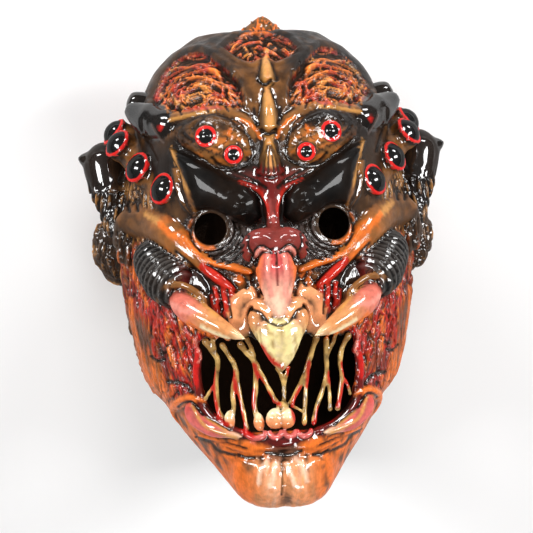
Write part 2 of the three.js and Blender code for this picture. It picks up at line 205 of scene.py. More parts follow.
class Form:
    """One rounded form: a limb along points, with radii from its start to its end."""

    def __init__(self, points, radii, paint=None, sides=12, rings=14, flat=1.0, out=(0, 0, 1),
                 end=0.16, ribs=0, rib_depth=0.07, grow=0.35):
        self.points = np.asarray(points, dtype=float)
        self.radii = np.asarray(radii, dtype=float)
        self.paint = paint
        self.sides = sides
        self.rings = rings
        self.flat = flat
        self.out = np.asarray(out, dtype=float)
        self.end = end
        self.ribs = ribs
        self.rib_depth = rib_depth
        self.grow = grow

    def mirrored(self):
        other = copy.copy(self)
        other.points = self.points * MIRROR
        other.out = self.out * MIRROR
        return other

    def section(self, t):
        """Middle, ways along, up and across, and radius at shares t of the length."""
        centre, along = along_curve(self.points, t)
        up = self.out - along * (along @ self.out)[:, None]
        up /= np.maximum(np.linalg.norm(up, axis=1, keepdims=True), 1e-9)
        across = np.cross(along, up)
        radius = np.interp(t, np.linspace(0, 1, len(self.radii)), self.radii)
        edge = np.clip(np.minimum(t, 1 - t) / self.end, 0, 1)
        radius = radius * np.sqrt(1 - (1 - edge) ** 2)
        if self.ribs:
            radius = radius * (1 + self.rib_depth * np.cos(2 * np.pi * self.ribs * t))
        return centre, along, up, across, radius

    def mesh(self):
        """Places and faces of the form: a ball drawn out along its curve."""
        places, faces = ball_shape(self.sides, self.rings)
        t = np.arccos(np.clip(places[:, 2], -1, 1)) / np.pi
        turn = np.arctan2(places[:, 1], places[:, 0])
        centre, _, up, across, radius = self.section(t)
        where = (centre + up * (np.cos(turn) * radius * self.flat)[:, None]
                 + across * (np.sin(turn) * radius)[:, None])
        return where, faces

    def distance(self, places):
        """How far places are outside of the form, below 0 inside, and their share along it."""
        t = np.linspace(0.01, 0.99, FORM_STEPS)
        centre, along, up, across, radius = self.section(t)
        reach = radius.max() * max(1, self.flat) + 4
        low, high = centre.min(0) - reach, centre.max(0) + reach
        near = np.where(np.all((places > low) & (places < high), axis=1))[0]
        far = np.full(len(places), OFF_FORM)
        share = np.zeros(len(places))
        if len(near) == 0:
            return far, share
        p = places[near]
        nearest = np.argmin(((p[:, None, :] - centre[None]) ** 2).sum(2), axis=1)
        o = p - centre[nearest]
        d = np.sqrt((np.einsum("ij,ij->i", o, up[nearest]) / self.flat) ** 2
                    + np.einsum("ij,ij->i", o, across[nearest]) ** 2
                    + np.einsum("ij,ij->i", o, along[nearest]) ** 2)
        far[near] = d - radius[nearest]
        length = np.linalg.norm(np.diff(centre, axis=0), axis=1).sum()
        share[near] = t[nearest] + np.einsum("ij,ij->i", o, along[nearest]) / length
        return far, share


def both(*forms):
    """The forms of one half of the face and their mirror images."""
    return [f for form in forms for f in (form, form.mirrored())]


def ball(centre, radius, paint=None, flat=1.0, out=(0, 0, 1), grow=0.35, sides=18):
    """A round knob: a very short limb."""
    c = np.asarray(centre, dtype=float)
    o = np.asarray(out, dtype=float)
    side = np.cross(o, (0.0, 1.0, 0.1))
    side /= np.linalg.norm(side)
    return Form([c - side * radius, c, c + side * radius], [radius] * 3, paint, sides, sides // 2 + 3,
                flat, out, end=0.5, grow=grow)


def ring(centre, radius, tube, paint=None, normal=(0, 0, 1), start=0.0, sweep=370.0, stretch=1.0):
    """A round bead, or a part of one, about a place."""
    n = np.asarray(normal, dtype=float)
    n /= np.linalg.norm(n)
    right = np.cross((0.0, 1.0, 0.0), n)
    right /= np.linalg.norm(right)
    up = np.cross(n, right)
    turns = np.radians(np.linspace(start, start + sweep, 17))
    points = [np.asarray(centre) + right * math.cos(a) * radius + up * math.sin(a) * radius * stretch
              for a in turns]
    return Form(points, [tube] * 3, paint, 10, 40, out=normal, end=0.04, grow=0.3)


def unit(v):
    v = np.asarray(v, dtype=float)
    return v / np.linalg.norm(v)


# Eyes: middle of the red ring, its radius, the radius of the black dome, and the way it looks
Eye = namedtuple("Eye", "place ring dome way")
SIDE_RING = 9.1
SIDE_DOME = 7.7
EYES = [
    (on_face(33.6, 50.6, 8), 6.4, 4.3, (0.2, 0.16, 1)),
    (on_face(19.6, 39.9, 6), 5.5, 3.4, (-0.05, 0.06, 1)),
    ((58.2, 24.2, 71), SIDE_RING, SIDE_DOME, (0.71, 0.28, 0.64)),
    ((71.1, 37.1, 54), SIDE_RING, SIDE_DOME, (0.71, 0.37, 0.6)),
    ((81.3, 51.4, 37), SIDE_RING, SIDE_DOME, (0.67, 0.55, 0.5)),
    ((82.9, 58.6, 22), SIDE_RING, SIDE_DOME, (0.75, 0.6, 0.26)),
]


DOME_BALL_SHARE = 1.12


def eye_list():
    """Every eye of both sides."""
    return [Eye(np.array(place) * (sign, 1, 1), ring_radius, dome, unit(way) * (sign, 1, 1))
            for place, ring_radius, dome, way in EYES for sign in (1, -1)]


def dome_of(eye):
    """Middle and radius of the ball whose cap is the dome of an eye."""
    radius = eye.dome * DOME_BALL_SHARE
    return eye.place - eye.way * math.sqrt(radius**2 - eye.dome**2), radius


def crown_forms():
    def thorn(x, top, bottom, radius):
        return Form([on_face(x, top, 1.5), on_face(x, (top + bottom) / 2, 1), on_face(x, bottom, -1)],
                    [radius * 0.08, radius * 0.6, radius], "thorn", flat=1.35, out=(0, 0.3, 1), end=0.06,
                    rings=30, sides=20)
    return [
        Form([(-14, 101, 6), (1, 101, 6), (16, 101, 6)], [12, 13.5, 12], None, end=0.5, flat=2),
        Form([(2.5, 105, 13), (3, 113, 15.5), (3.5, 121, 17)], [18, 11, 2.2], "crest", sides=24, rings=24),
        thorn(1.6, 96, 78, 5),
        thorn(0.8, 77, 51, 7),
        thorn(0, 49.5, 27, 7.4),
    ]


def eye_forms():
    forms = both(
        Form([on_face(7, 48, 0), on_face(12, 58, -1), on_face(26, 63.8, -1), on_face(42, 63, -1),
              on_face(58, 61.5, -1)], [3, 3.4, 3.4, 3.2, 3.4], "lid", flat=1.3, rings=30),
        Form([on_face(9, 40, -2), on_face(20, 45, 0), on_face(32, 50.5, 0), on_face(50, 56.5, -2)],
             [5, 12, 13, 5], "pod", flat=0.6, sides=24, rings=24),
        Form([(46, 15, 66), (56, 24, 57), (66, 37, 42), (74, 50, 24), (77, 59, 6)],
             [6, 8.5, 9.5, 10, 9], "stalk", out=(0.6, 0, 0.8), flat=1.1),
    )
    for eye in eye_list():
        middle, radius = dome_of(eye)
        forms.append(ball(middle, radius, None, out=eye.way, sides=32))
        bead = (eye.ring - eye.dome) / 2
        forms.append(ring(eye.place, eye.dome + bead, bead * 1.15, None, eye.way))
        root = eye.place - eye.way * 3.4 * eye.dome * 0.5
        forms.append(Form([root, eye.place - eye.way * 0.6], [eye.dome * 0.9, eye.ring], "stalk", end=0.3,
                          sides=24))
    return forms


def horn_forms():
    return both(
        Form([on_face(48, 57, -3), (62, 62.5, 50), (72.5, 69, 42), (75, 70.5, 40)], [8, 10.5, 5, 2],
             "black", flat=0.95, sides=20, rings=24),
        Form([(58, 68, 20), (68, 73, 20), (75, 75.5, 20)], [9, 8, 5.5], "black", sides=20, rings=20),
        Form([(76, 38, 2), (91, 42, 5), (104.2, 45.5, 9)], [13, 9, 2], "black", sides=24, rings=24),
        Form([(82, 53, 2), (87, 42, 6), (86, 28, 11), (84, 12, 19), (81, -4, 29)],
             [5, 14.5, 12, 8.5, 5], "horn_root", flat=0.9, sides=24, rings=30),
        Form([(80, 13, -20), (85, 1, -18), (85, -14, -16), (79, -28, -14)], [7, 12, 11, 4],
             "ear", flat=1.2, ribs=5, rings=60, sides=28, rib_depth=0.05),
        Form([(66, 17, 48), (67, 12, 47)], [2.6, 3.2], "boss"),
        Form([(71, 17.5, 45), (71.5, 12, 44)], [2.6, 3.2], "boss"),
        Form([(76, 18, 41), (76.5, 12, 40)], [2.6, 3.2], "boss"),
    )


def brow_forms():
    return [
        Form([on_face(0, 34, -1), on_face(0, 20, 1), on_face(0, 6, 3), on_face(0, -5, 6)],
             [9, 6, 4.6, 5.5], "bridge", sides=20, rings=24),
        Form([on_face(0, 1, 5), (0, -7.5, 108.5), (0, -10.5, 109)], [4.6, 6.2, 6], "nose", end=0.3),
    ] + both(
        Form([(0, -7.6, 108), (6, -5, 109), (11.5, -6.5, 107), (14.6, -10.5, 103.5), (14.2, -15, 102),
              (12, -17.5, 102)], [5.4, 5.2, 4.8, 4.2, 3, 1.4], "nose", sides=20, rings=36),
        Form([(-3, -12.5, 106.5), (4, -11.5, 107.5), (9, -11.5, 106.5), (12, -15, 104)],
             [5, 5.4, 4.6, 2.4], "nose", rings=24, sides=20),
    )


def beak_forms():
    return both(
        Form([(13.6, -43.2, 107), (12, -50, 110), (6, -60, 113)], [2, 4.4, 5], "lower_beak", rings=24),
        Form([(0, -47.6, 112.5), (5, -45.2, 111.5), (9.6, -41, 109), (12, -38, 107)], [4.6, 4.2, 3.4, 2.6],
             "notch", end=0.3, rings=24),
        Form([on_face(16.5, -56, 0), on_face(17.6, -47, 4), on_face(15.6, -41.6, 6), (12, -39.6, 109),
               (7, -42.5, 111)], [1.2, 1.2, 1.1, 1.1, 1], "web", rings=36),
        Form([on_face(20.5, -57, 0), on_face(20.5, -48, 1), on_face(18, -39.5, 2), (13, -35.5, 104),
              (9, -36, 106)], [4.6, 6, 6.4, 5.4, 4], "web_skin", flat=0.55, rings=36, sides=20),
        Form([on_face(17, -44, 0), on_face(13, -40, 2), (6, -40, 107)], [5, 5.5, 4], "web_skin", flat=0.6,
             sides=20, rings=24),
    ) + [
        Form([(0, -12.4, 106), (0, -17, 108), (0, -24, 109), (0, -31, 110.4), (0, -38, 112.6),
              (0, -45, 115), (0, -51, 117)], [8.8, 10.8, 11.1, 9.2, 7, 3.6, 0.8], "upper_beak", flat=0.8,
             end=0.3, sides=32, rings=40),
        Form([(0, -50, 110), (0, -54, 113), (0, -59, 114.6), (0, -65, 116), (0, -71, 117),
              (0, -78, 117.5)], [13.4, 13.4, 12, 9.4, 6.2, 0.9], "lower_beak", flat=0.5, sides=32,
             end=0.2, rings=44),
    ]


def strap_forms():
    gill_lobes = [
        Form([on_face(32.5, -31, 0), on_face(33, -38, 2), on_face(31.6, -45, 0)], [2, 2.4, 1.5], "gill"),
        Form([on_face(28.2, -31, 0), on_face(27.6, -39, 3), on_face(26.8, -47, 0)], [1.9, 2.3, 1.4], "gill"),
        Form([on_face(24.4, -33, 0), on_face(24, -41, 3), on_face(24.5, -50, 0)], [2, 2.5, 1.5], "gill"),
    ]
    return both(
        Form([(78, -6, 36), (77, 5, 40), (67, 7, 54), on_face(56.5, 0.5, 1), on_face(46.5, -10.5, 1.5),
              on_face(37.5, -17, 1), on_face(30, -20, 1)], [5, 9, 9, 8.2, 6.4, 5, 3], "strap",
             out=(0.3, 0, 1), rings=44, sides=24, flat=0.6),
        Form([(76, 9, 36), (79.5, -3, 36), (77, -17, 38)], [8, 7, 4], "boss", sides=18, rings=20),
        Form([on_face(38, -15.5, 2), on_face(24, -19.2, 2.4), on_face(11, -23.5, 3)], [2.4, 1.8, 1.8],
             "strap", rings=24),
        Form([on_face(39, -18, 2), on_face(31, -25, 3), on_face(22, -33, 3)], [3, 3.4, 2.4], "red_branch",
             rings=24),
        *gill_lobes,
    )


TUBE_RIBS = 14


def fang_forms():
    return both(
        Form([(67, -8, 50), (64.5, -15, 63), (57.5, -25, 77), (49, -32.5, 89)], [7, 11.5, 14, 12.5],
             "barrel", out=(0.5, 0, 1), end=0.2, sides=48, rings=50),
        Form([(63.5, -37, 82), (60, -30, 88), (50, -28.5, 97), (40.5, -34.5, 101), (37.5, -40, 102)],
             [1.6, 1.9, 2.1, 1.8, 1.4], "sleeve", rings=36),
        Form([(55, -34, 86), (46, -42.5, 98), (36, -49, 107), (27, -54.2, 113), (17, -59, 118)],
             [6, 7.4, 6.2, 4.1, 0.7], "fang", sides=28, rings=40),
    )


def rim_forms():
    """Bead round each eye hole, and a second one round its lower inner side."""
    way = (0.3, 0, 1)
    bead = ring(on_face(EYE_HOLE_X, EYE_HOLE_Y, -0.6), EYE_HOLE_RADIUS + 0.7, 1.3, "rim", way)
    fold = ring(on_face(EYE_HOLE_X, EYE_HOLE_Y, -1.4), EYE_HOLE_RADIUS + 2.6, 1.3, "hole_rim", way, 140, 150)
    return both(bead, fold)


def lower_fang_forms():
    return both(
        Form([on_face(47.5, -92, 0), on_face(45, -100, 3), on_face(36, -107, 4), on_face(20, -111.2, 3)],
             [5, 5.6, 4.2, 0.8], "lower_fang", sides=24, rings=30),
        Form([on_face(41, -93, 1), on_face(46, -90.3, 1), on_face(53, -92, 0), on_face(57, -97, -1),
              on_face(53, -107, -1)], [1.8, 2.3, 2.6, 2.4, 1.6], "jaw_sleeve", rings=30),
        Form([on_face(42, -98, 1), on_face(37, -103.5, 3), on_face(29, -108, 3)], [1.2, 1.5, 1],
             "fang_edge", rings=24),
    )


EYE_HOLE_X = 33.4
EYE_HOLE_Y = 1.0
EYE_HOLE_RADIUS = 8.7
MOUTH_HALF = 41.0
MOUTH_TOP_Y = -60.0
# Tendons across the mouth: radius at their ends and the places they pass, each side its own
STRANDS = [
    (1.7, [(-40, -57.7), (-36, -64), (-32.8, -70), (-34.3, -82.6), (-33.8, -95.5), (-31.5, -102)]),
    (1.3, [(-35, -58), (-34, -65), (-33, -70)]),
    (1.1, [(-34, -82), (-37, -85.5), (-40.5, -91)]),
    (1.5, [(-30.9, -60), (-27, -67), (-23.5, -74.5), (-25.5, -86), (-25.5, -96), (-28, -104)]),
    (1.4, [(-23.5, -74), (-22.3, -86), (-20.4, -98), (-19, -108)]),
    (1.7, [(-21.5, -60), (-17.5, -66), (-13.4, -71.4), (-13.2, -83.6), (-14.5, -95), (-11.5, -107)]),
    (1.3, [(-17.2, -58), (-13.8, -66), (-13.4, -71)]),
    (1.5, [(-13.4, -71), (-9.1, -80), (-5.5, -87.6), (-2.5, -94)]),
    (1.3, [(-1.5, -74), (1.2, -81), (1.8, -88), (1, -96)]),
    (1.1, [(4.8, -74), (3, -81), (1.8, -86)]),
    (1.6, [(21.4, -58), (18.5, -65), (16, -72), (11, -84), (7, -91), (5, -95)]),
    (1.4, [(16, -72), (14.2, -82), (13, -92), (11.5, -107)]),
    (0.9, [(5, -95.5), (9, -97.5), (12.5, -100)]),
    (1.4, [(26.1, -59), (25.3, -68), (25.4, -77), (22.6, -88), (18.5, -98), (16.5, -107)]),
    (1.2, [(32, -56), (29.5, -63), (26, -70), (25.6, -76)]),
    (1.2, [(25.4, -77), (26.3, -88), (26.2, -100)]),
    (1.5, [(39.5, -58), (35, -65), (33, -73), (33.6, -82), (31.5, -94), (30, -100)]),
    (1, [(33.4, -81), (36.5, -86), (38, -92)]),
]
# Places where fresh red runs down the tendons: radius and path
BLOOD = [
    (1.2, [(-35.5, -75), (-36, -84), (-35.4, -92), (-33, -101), (-29.5, -104)]),
    (1.1, [(-25, -76), (-23.8, -86), (-22, -97), (-20.5, -108)]),
    (1.2, [(-13.5, -73), (-12, -78), (-9.5, -83)]),
    (1, [(-14.6, -86), (-15.4, -96)]),
    (1, [(-7, -88), (-4.5, -93), (-1, -94.5)]),
    (1.3, [(-10, -63), (-7.5, -68), (-3.5, -71.5), (0.5, -74)]),
    (0.9, [(4.4, -74), (4.6, -79)]),
    (1.1, [(15.6, -73), (15.2, -80), (14.6, -86)]),
    (0.9, [(10.5, -86), (6.8, -93), (5.5, -98), (7, -104), (8.5, -109)]),
    (1.2, [(27, -79), (26.6, -84)]),
    (0.9, [(20, -97), (18, -103), (15, -108)]),
    (0.9, [(34, -74), (35.2, -80), (36.6, -87)]),
    (1.3, [(34.5, -86), (33, -92), (30.5, -97)]),
    (1.4, [(-21, -108), (-17, -111)]),
    (1.2, [(11, -108), (15, -106), (21, -105), (26, -104)]),
]
# Thickness along a tendon, the teeth between them, and the scallops of the lower gum from x to x
STRAND_SHARES = (1.45, 0.85, 1.0, 0.75, 0.95, 0.8, 1.3)
SIDE_TEETH = [(-27.5, -101.5), (-12.2, -103.5)]
MIDDLE_TEETH = [(-3.9, 4.9), (2.3, 4.7)]
TOOTH_Y = -101.5
SCALLOPS = [(-20, -8.8), (-7.4, -0.8), (0.3, 7), (7.4, 15.5)]


def scallop(first, last):
    middle = (first + last) / 2
    places = [(first, -108, 0), (first * 0.7 + middle * 0.3, -110.8, 1.5), (middle, -112, 2),
              (last * 0.7 + middle * 0.3, -110.8, 1.5), (last, -108, 0)]
    return Form([on_face(*place) for place in places], [1.2, 1.5, 1.6, 1.5, 1.2], "gum", end=0.08, rings=30)


def mouth_forms():
    forms = []
    for radius, line in STRANDS:
        radii = [radius * share for share in STRAND_SHARES]
        forms.append(Form([on_face(x, y, -0.5) for x, y in line], radii, "strand", end=0.08, rings=36))
    for x, y in SIDE_TEETH:
        forms.append(Form([on_face(x, y + 5, 0), on_face(x - 0.4, y, 0), on_face(x + 0.6, y - 5, 0)],
                          [2.2, 3, 2.4], "tooth", end=0.4))
    for x, radius in MIDDLE_TEETH:
        forms.append(Form([on_face(x + 0.8, TOOTH_Y + 5, 1), on_face(x, TOOTH_Y, 2),
                           on_face(x, TOOTH_Y - 6, 1)], [radius * 0.7, radius, radius], "tooth",
                          end=0.4, sides=24, rings=20))
    forms.append(Form([on_face(0.5, -93, 0), on_face(0.5, -97, 0)], [2.6, 4], "strand", end=0.4))
    forms += [scallop(first, last) for first, last in SCALLOPS]
    forms.append(Form([on_face(-22, -111, -1), on_face(0, -114.4, 1), on_face(20, -110.5, -1)],
                      [2.4, 2.8, 2.4], "gum_root", rings=36, flat=0.8))
    forms += both(Form([on_face(16, -111, -1), on_face(28, -107, -1), on_face(38, -99, -1),
                        on_face(42.5, -90, -1), on_face(44, -76, -1), on_face(42.5, -62, -1)],
                       [2.6, 2.6, 2.6, 2.6, 2.4, 2.2], "mouth_edge", end=0.05, rings=40))
    return forms


FIBRE_WAVES = 26


def waves(p, size, seed, count=18):
    """Smooth uneven values about 0 at places p, with lumps of about the given size."""
    random = np.random.default_rng(seed)
    way = random.normal(size=(count, 3))
    way /= np.linalg.norm(way, axis=1, keepdims=True)
    pace = 2 * np.pi / (size * random.uniform(0.7, 1.6, count) * 2)
    shift = random.uniform(0, 2 * np.pi, count)
    return np.sin(p @ (way * pace[:, None]).T + shift).sum(1) / math.sqrt(count / 2)


def fibres(along, across, length, width, seed):
    """Uneven values about 0 in long thin streaks, for a surface that runs like muscle."""
    flat = np.stack([along / length, across / width, np.zeros_like(along)], axis=1)
    return waves(flat, 0.5, seed, FIBRE_WAVES)


def lines(value, width):
    """1 on the thin winding lines where uneven values pass 0, and 0 away from them."""
    return np.exp(-(value / width) ** 2)


def outline_depth(x, y, outline):
    """How far places are inside an outline (negative outside)."""
    inside = np.zeros(x.shape, dtype=bool)
    nearest = np.full(x.shape, 1e9)
    for (x0, y0), (x1, y1) in zip(outline, outline[1:] + outline[:1]):
        ex, ey = x1 - x0, y1 - y0
        t = np.clip(((x - x0) * ex + (y - y0) * ey) / (ex * ex + ey * ey), 0, 1)
        nearest = np.minimum(nearest, np.hypot(x - x0 - t * ex, y - y0 - t * ey))
        crosses = (y0 > y) != (y1 > y)
        inside ^= crosses & (x < (x1 - x0) * (y - y0) / (y1 - y0 + 1e-12) + x0)
    return np.where(inside, nearest, -nearest)


# Outlines in the front view.  The side ones are on both sides.
SIDE_WINDOW = [(60, 75.6), (57.7, 80.8), (54.2, 87.9), (49.8, 93.9), (45.5, 97), (39.2, 99), (33.5, 99.3),
               (28.1, 95.7), (25.3, 92.2), (20.4, 87.6), (15.6, 81.9), (13, 75.4), (12.3, 69), (13, 65.9),
               (19.7, 65), (27.8, 65.3), (36.9, 65.1), (49.2, 65.2), (57.7, 70.1)]
CENTRE_WINDOW = [(-19.8, 100.7), (-11.3, 107.6), (-0.5, 110), (8, 109), (16, 104.5), (19.5, 99),
                 (14, 93.5), (7, 91), (1.8, 94.8), (-2, 93.2), (-5.9, 91.1), (-9.9, 92.5), (-15.4, 96.5)]
BROW_PLATE = [(53, 47), (32, 36), (22, 27.5), (12.5, 23.5), (6.8, 16.5), (5.5, 6.2), (12.5, 1.2), (22, 5),
              (30, 9), (41, 11), (45, 18), (47.7, 33), (53, 44)]
BROW_LEDGE = [(48, 34), (44, 20), (40, 12), (36, 9.5), (42, 8), (48, 16), (51, 26), (52, 35)]
# Windows behind: turn from the back in degrees, height, and half of each size
BACK_WINDOWS = [(0, 62, 22, 24), (52, 72, 20, 22), (100, 60, 18, 22), (26, 20, 18, 16), (72, 24, 18, 18)]


JAW_SLOPE = 0.27


def back_share(around, y, z):
    """The windows behind."""
    share = np.zeros(len(y))
    for turn, height, wide, high in BACK_WINDOWS:
        share = np.maximum(share, ease(1.08, 0.94, np.hypot((around - turn) / wide, (y - height) / high)))
    return share * ease(4, -4, z)


def top_share(side, y, z):
    """The window on top of the skull."""
    return ease(1.1, 0.9, np.hypot(side / 24, (z + 14) / 18)) * ease(98, 103, y)


def cheek_share(side, y, z):
    """The muscle of the cheeks: under the fangs in front, and higher up at the sides."""
    above_jaw = ease(-98, -88, y)
    in_front = ease(-34, -42, y) * ease(36, 42, side) * ease(-4, 12, z) * above_jaw
    return np.maximum(in_front, ease(60, 66, side) * ease(0, -10, y) * ease(0, 12, z) * above_jaw)


def regions(p):
    """Soft shares, 0 to 1, of the broad areas of the head at places p."""
    side = np.abs(p[:, 0])
    y, z = p[:, 1], p[:, 2]
    front = ease(-5, 12, z)
    window_in = outline_depth(side, y, SIDE_WINDOW)
    centre_in = outline_depth(p[:, 0], y, CENTRE_WINDOW)
    brow_in = outline_depth(side, y, BROW_PLATE)
    around = np.degrees(np.arctan2(side, -z))
    jaw_line = side - JAW_SLOPE * y
    hem = ease(81, 85, jaw_line) * ease(-36, -50, y)
    jaw = ease(-94, -101, y + 0.12 * (side - 44)) * ease(-20, 0, z)
    hole = np.hypot(side - EYE_HOLE_X, y - EYE_HOLE_Y)
    socket = ease(27, 20, np.hypot(side - 28, (y + 6) * 1.25)) * ease(6, 12, side)
    window = ease(-0.6, 1.0, window_in) * front
    centre = ease(-0.6, 1.0, centre_in) * front
    nose_side = ease(9, 13, side) * ease(34, 28, side) * ease(-42, -36, y) * ease(-17, -22, y) * front
    return {"window_in": window_in, "window": window, "centre_in": centre_in, "centre": centre,
            "brow_in": brow_in, "brow": ease(-0.2, 1.0, brow_in) * front,
            "ledge": ease(-0.8, 0.6, outline_depth(side, y, BROW_LEDGE)) * front,
            "inside": np.maximum.reduce([window, centre, back_share(around, y, z), top_share(side, y, z)]),
            "nose_side": nose_side, "pod": disc(side, y, *POD), "cheek": cheek_share(side, y, z),
            "hem": hem, "jaw": jaw, "hole": hole,
            "socket": socket, "front": front, "side": side, "jaw_line": jaw_line, "around": around}


def disc(side, y, cx, cy, rx, ry, angle=0.0):
    """1 in an oval of the front view and 0 outside of it."""
    c, s = math.cos(angle), math.sin(angle)
    u = ((side - cx) * c + (y - cy) * s) / rx
    v = ((y - cy) * c - (side - cx) * s) / ry
    return 1 - ease(0.75, 1.1, np.hypot(u, v))


# Ovals of the front view: middle, half of each size, and turn.  The pod holds the two eyes of each brow.
POD = (28, 47, 25, 13, 0.35)
SOCKET = (33, -2, 18, 15)
CHEEK_HOLLOW = (60, -18, 24, 15, -0.75)
GILLS = (46, -56, 18, 9, -0.5)
CHIN_PAD = (13, -133, 15, 17)
LIP = (0, -115, 30, 4)
LIP_GROOVE = (0, -122, 26, 3.5)
PLATE_END = (17, 14, 9, 8)


def carving(p):
    """Broad carving of the head form, out of or into the plain surface."""
    side, y = np.abs(p[:, 0]), p[:, 1]
    front = ease(-5, 20, p[:, 2])
    socket = disc(side, y, *SOCKET)
    cheek_hollow = disc(side, y, *CHEEK_HOLLOW)
    gills = disc(side, y, *GILLS)
    chin_pads = disc(side, y, *CHIN_PAD)
    chin_groove = (1 - ease(1, 6, side)) * (1 - ease(-122, -112, y))
    lip = disc(side, y, *LIP)
    lip_groove = disc(side, y, *LIP_GROOVE)
    sunk = np.maximum.reduce([2.2 * socket, 2.2 * cheek_hollow, 1.8 * gills])
    return front * (2 * chin_pads - 1.6 * chin_groove + 2 * lip - 2.2 * lip_groove - sunk)


def mirrored(points):
    return [(-x, y) for x, y in points]


def with_mirror(marks):
    """Each mark with its mirror image straight after it."""
    return [(paint, width, height, line) for paint, width, height, points in marks
            for line in (points, mirrored(points))]


# Hand-cut marks: paint, width and height in millimetres, and the places the line passes, seen from
# the front.  A height below 0 is a groove.  All but those of the peak, beak and chin are on both sides.
WINDOW_MARKS = [
    ("orange", 2.2, 1.5, [(50.5, 79.5), (46.5, 84), (41, 86), (28.5, 82), (19.5, 75.5), (19, 70)]),
    ("orange", 1.4, 1.2, [(51.5, 85.5), (53.5, 82), (52, 77), (53, 68.5)]),
    ("tan", 1.6, 1.2, [(50, 77), (49, 72.5), (44.5, 68)]),
    ("orange", 1.8, 1.3, [(44, 72), (45.5, 76.5), (42, 79), (34, 81)]),
    ("orange", 1.5, 1.0, [(49.5, 87), (42.5, 90.5), (33.5, 93), (28, 91.5)]),
    ("orange", 1.7, 1.2, [(48.5, 85.5), (39.5, 88.5), (29.5, 88.5), (25.5, 87), (23, 79)]),
    ("tan", 1.3, 0.9, [(46, 92), (41.5, 94.5), (36, 95), (26.5, 91.5)]),
    ("bright_orange", 2.6, 1.4, [(35, 81), (32, 78), (31.5, 74), (34, 70)]),
    ("orange", 1.6, 1.1, [(31.5, 74.5), (28, 73), (24, 74), (22, 77), (24.5, 80)]),
    ("orange", 1.7, 1.0, [(32.5, 72), (25, 71.5), (18, 69.5), (14.5, 71)]),
    ("bright_orange", 2.4, 1.2, [(43, 72.5), (39, 74.5), (35.5, 75.5), (32, 74.5)]),
    ("tan", 0.8, 0.8, [(54.5, 74), (56.5, 78), (56, 82)]),
    ("tan", 0.7, 0.7, [(56, 83.5), (52.5, 87.5), (48.5, 92), (44, 95.5)]),
    ("red", 1.6, 0.3, [(41.5, 87.5), (37.5, 88), (30, 89)]),
    ("deep_red", 2.6, -1.2, [(47.5, 82), (44.5, 84.5), (41.5, 83), (43.5, 80)]),
    ("bright_red", 1.2, 0.3, [(35, 66), (34, 68.5), (32.5, 69)]),
    ("black", 3.0, -2.6, [(58.5, 71.5), (56, 69.5)]),
    ("black", 2.4, -2.6, [(52, 71), (51, 69)]),
    ("black", 2.2, -2.6, [(41.5, 70), (38, 71.5), (35.5, 72)]),
    ("black", 1.6, -2.4, [(28.5, 79.5), (26, 78), (24.5, 76)]),
    ("black", 1.9, -2.4, [(21.5, 77.5), (21.5, 75), (21, 72.5)]),
    ("black", 2.2, -1.6, [(23.5, 89.5), (20, 85), (16.5, 81), (13.5, 76.5)]),
    ("black", 1.0, -1.2, [(55, 77.5), (54, 83), (50.5, 88)]),
]
CENTRE_MARKS = [
    ("orange", 1.5, 1.1, [(-11.5, 105.5), (-7, 109), (3, 110), (11, 105.5)]),
    ("orange", 2.0, 1.3, [(-15, 102.5), (-11, 103.5), (-1.5, 105), (1.5, 106.5)]),
    ("bright_orange", 2.4, 1.3, [(-8, 101), (-6.5, 97.5), (-8.5, 95.5)]),
    ("orange", 1.6, 1.2, [(1.5, 106.5), (-1.5, 101.5), (-3.5, 98), (-2.5, 93.5)]),
    ("bright_orange", 2.0, 1.3, [(0.5, 101.5), (3, 98.5), (3, 94.5)]),
    ("orange", 1.8, 1.2, [(5.5, 103), (9, 100), (13, 98.5), (16.5, 96.5)]),
    ("red", 2.4, -0.4, [(2, 106), (2.5, 102), (0, 101.5)]),
    ("deep_red", 2.2, -1.2, [(-1, 98.5), (0, 95)]),
    ("black", 1.6, -2.4, [(-7, 102), (-5, 99)]),
    ("black", 1.6, -2.2, [(-15, 96.5), (-12, 94), (-9, 94)]),
    ("black", 2.0, -2.4, [(9.5, 98), (12.5, 95.5)]),
    ("black", 1.4, -2.0, [(16.5, 94.5), (19.5, 96)]),
]
POD_MARKS = [
    ("orange", 1.4, 0.6, [(14.5, 59), (10, 56.5), (6.5, 52.5), (4.5, 48.5)]),
    ("orange", 1.5, 0.6, [(20.5, 53.5), (21.5, 51)]),
    ("tan", 1.6, 0.6, [(52, 61.5), (44, 62.5), (36, 64), (28.5, 64.5)]),
    ("black", 1.2, -1.3, [(33, 61.5), (28.5, 62), (20, 58.5), (16, 54.5), (12, 51.5)]),
    ("black", 1.3, -1.0, [(51.5, 58), (44.5, 58.5), (38, 61.5), (33, 62)]),
    ("black", 1.8, -1.2, [(7, 64), (7, 59.5), (5.5, 56)]),
    ("umber", 1.2, -0.8, [(13, 53), (10, 48.5), (8.5, 45.5)]),
    ("black", 1.4, -1.4, [(46.5, 45.5), (35.5, 38), (30.5, 33.5), (18, 32.5), (9, 38), (10, 46.5)]),
    ("black", 1.4, -1.2, [(31, 39), (27.5, 35.5), (22.5, 33)]),
    ("black", 1.6, -1.3, [(45, 53.5), (43, 51), (40.5, 48.5)]),
    ("black", 1.2, -1.1, [(40, 55), (37.5, 58), (34, 59.5)]),
]
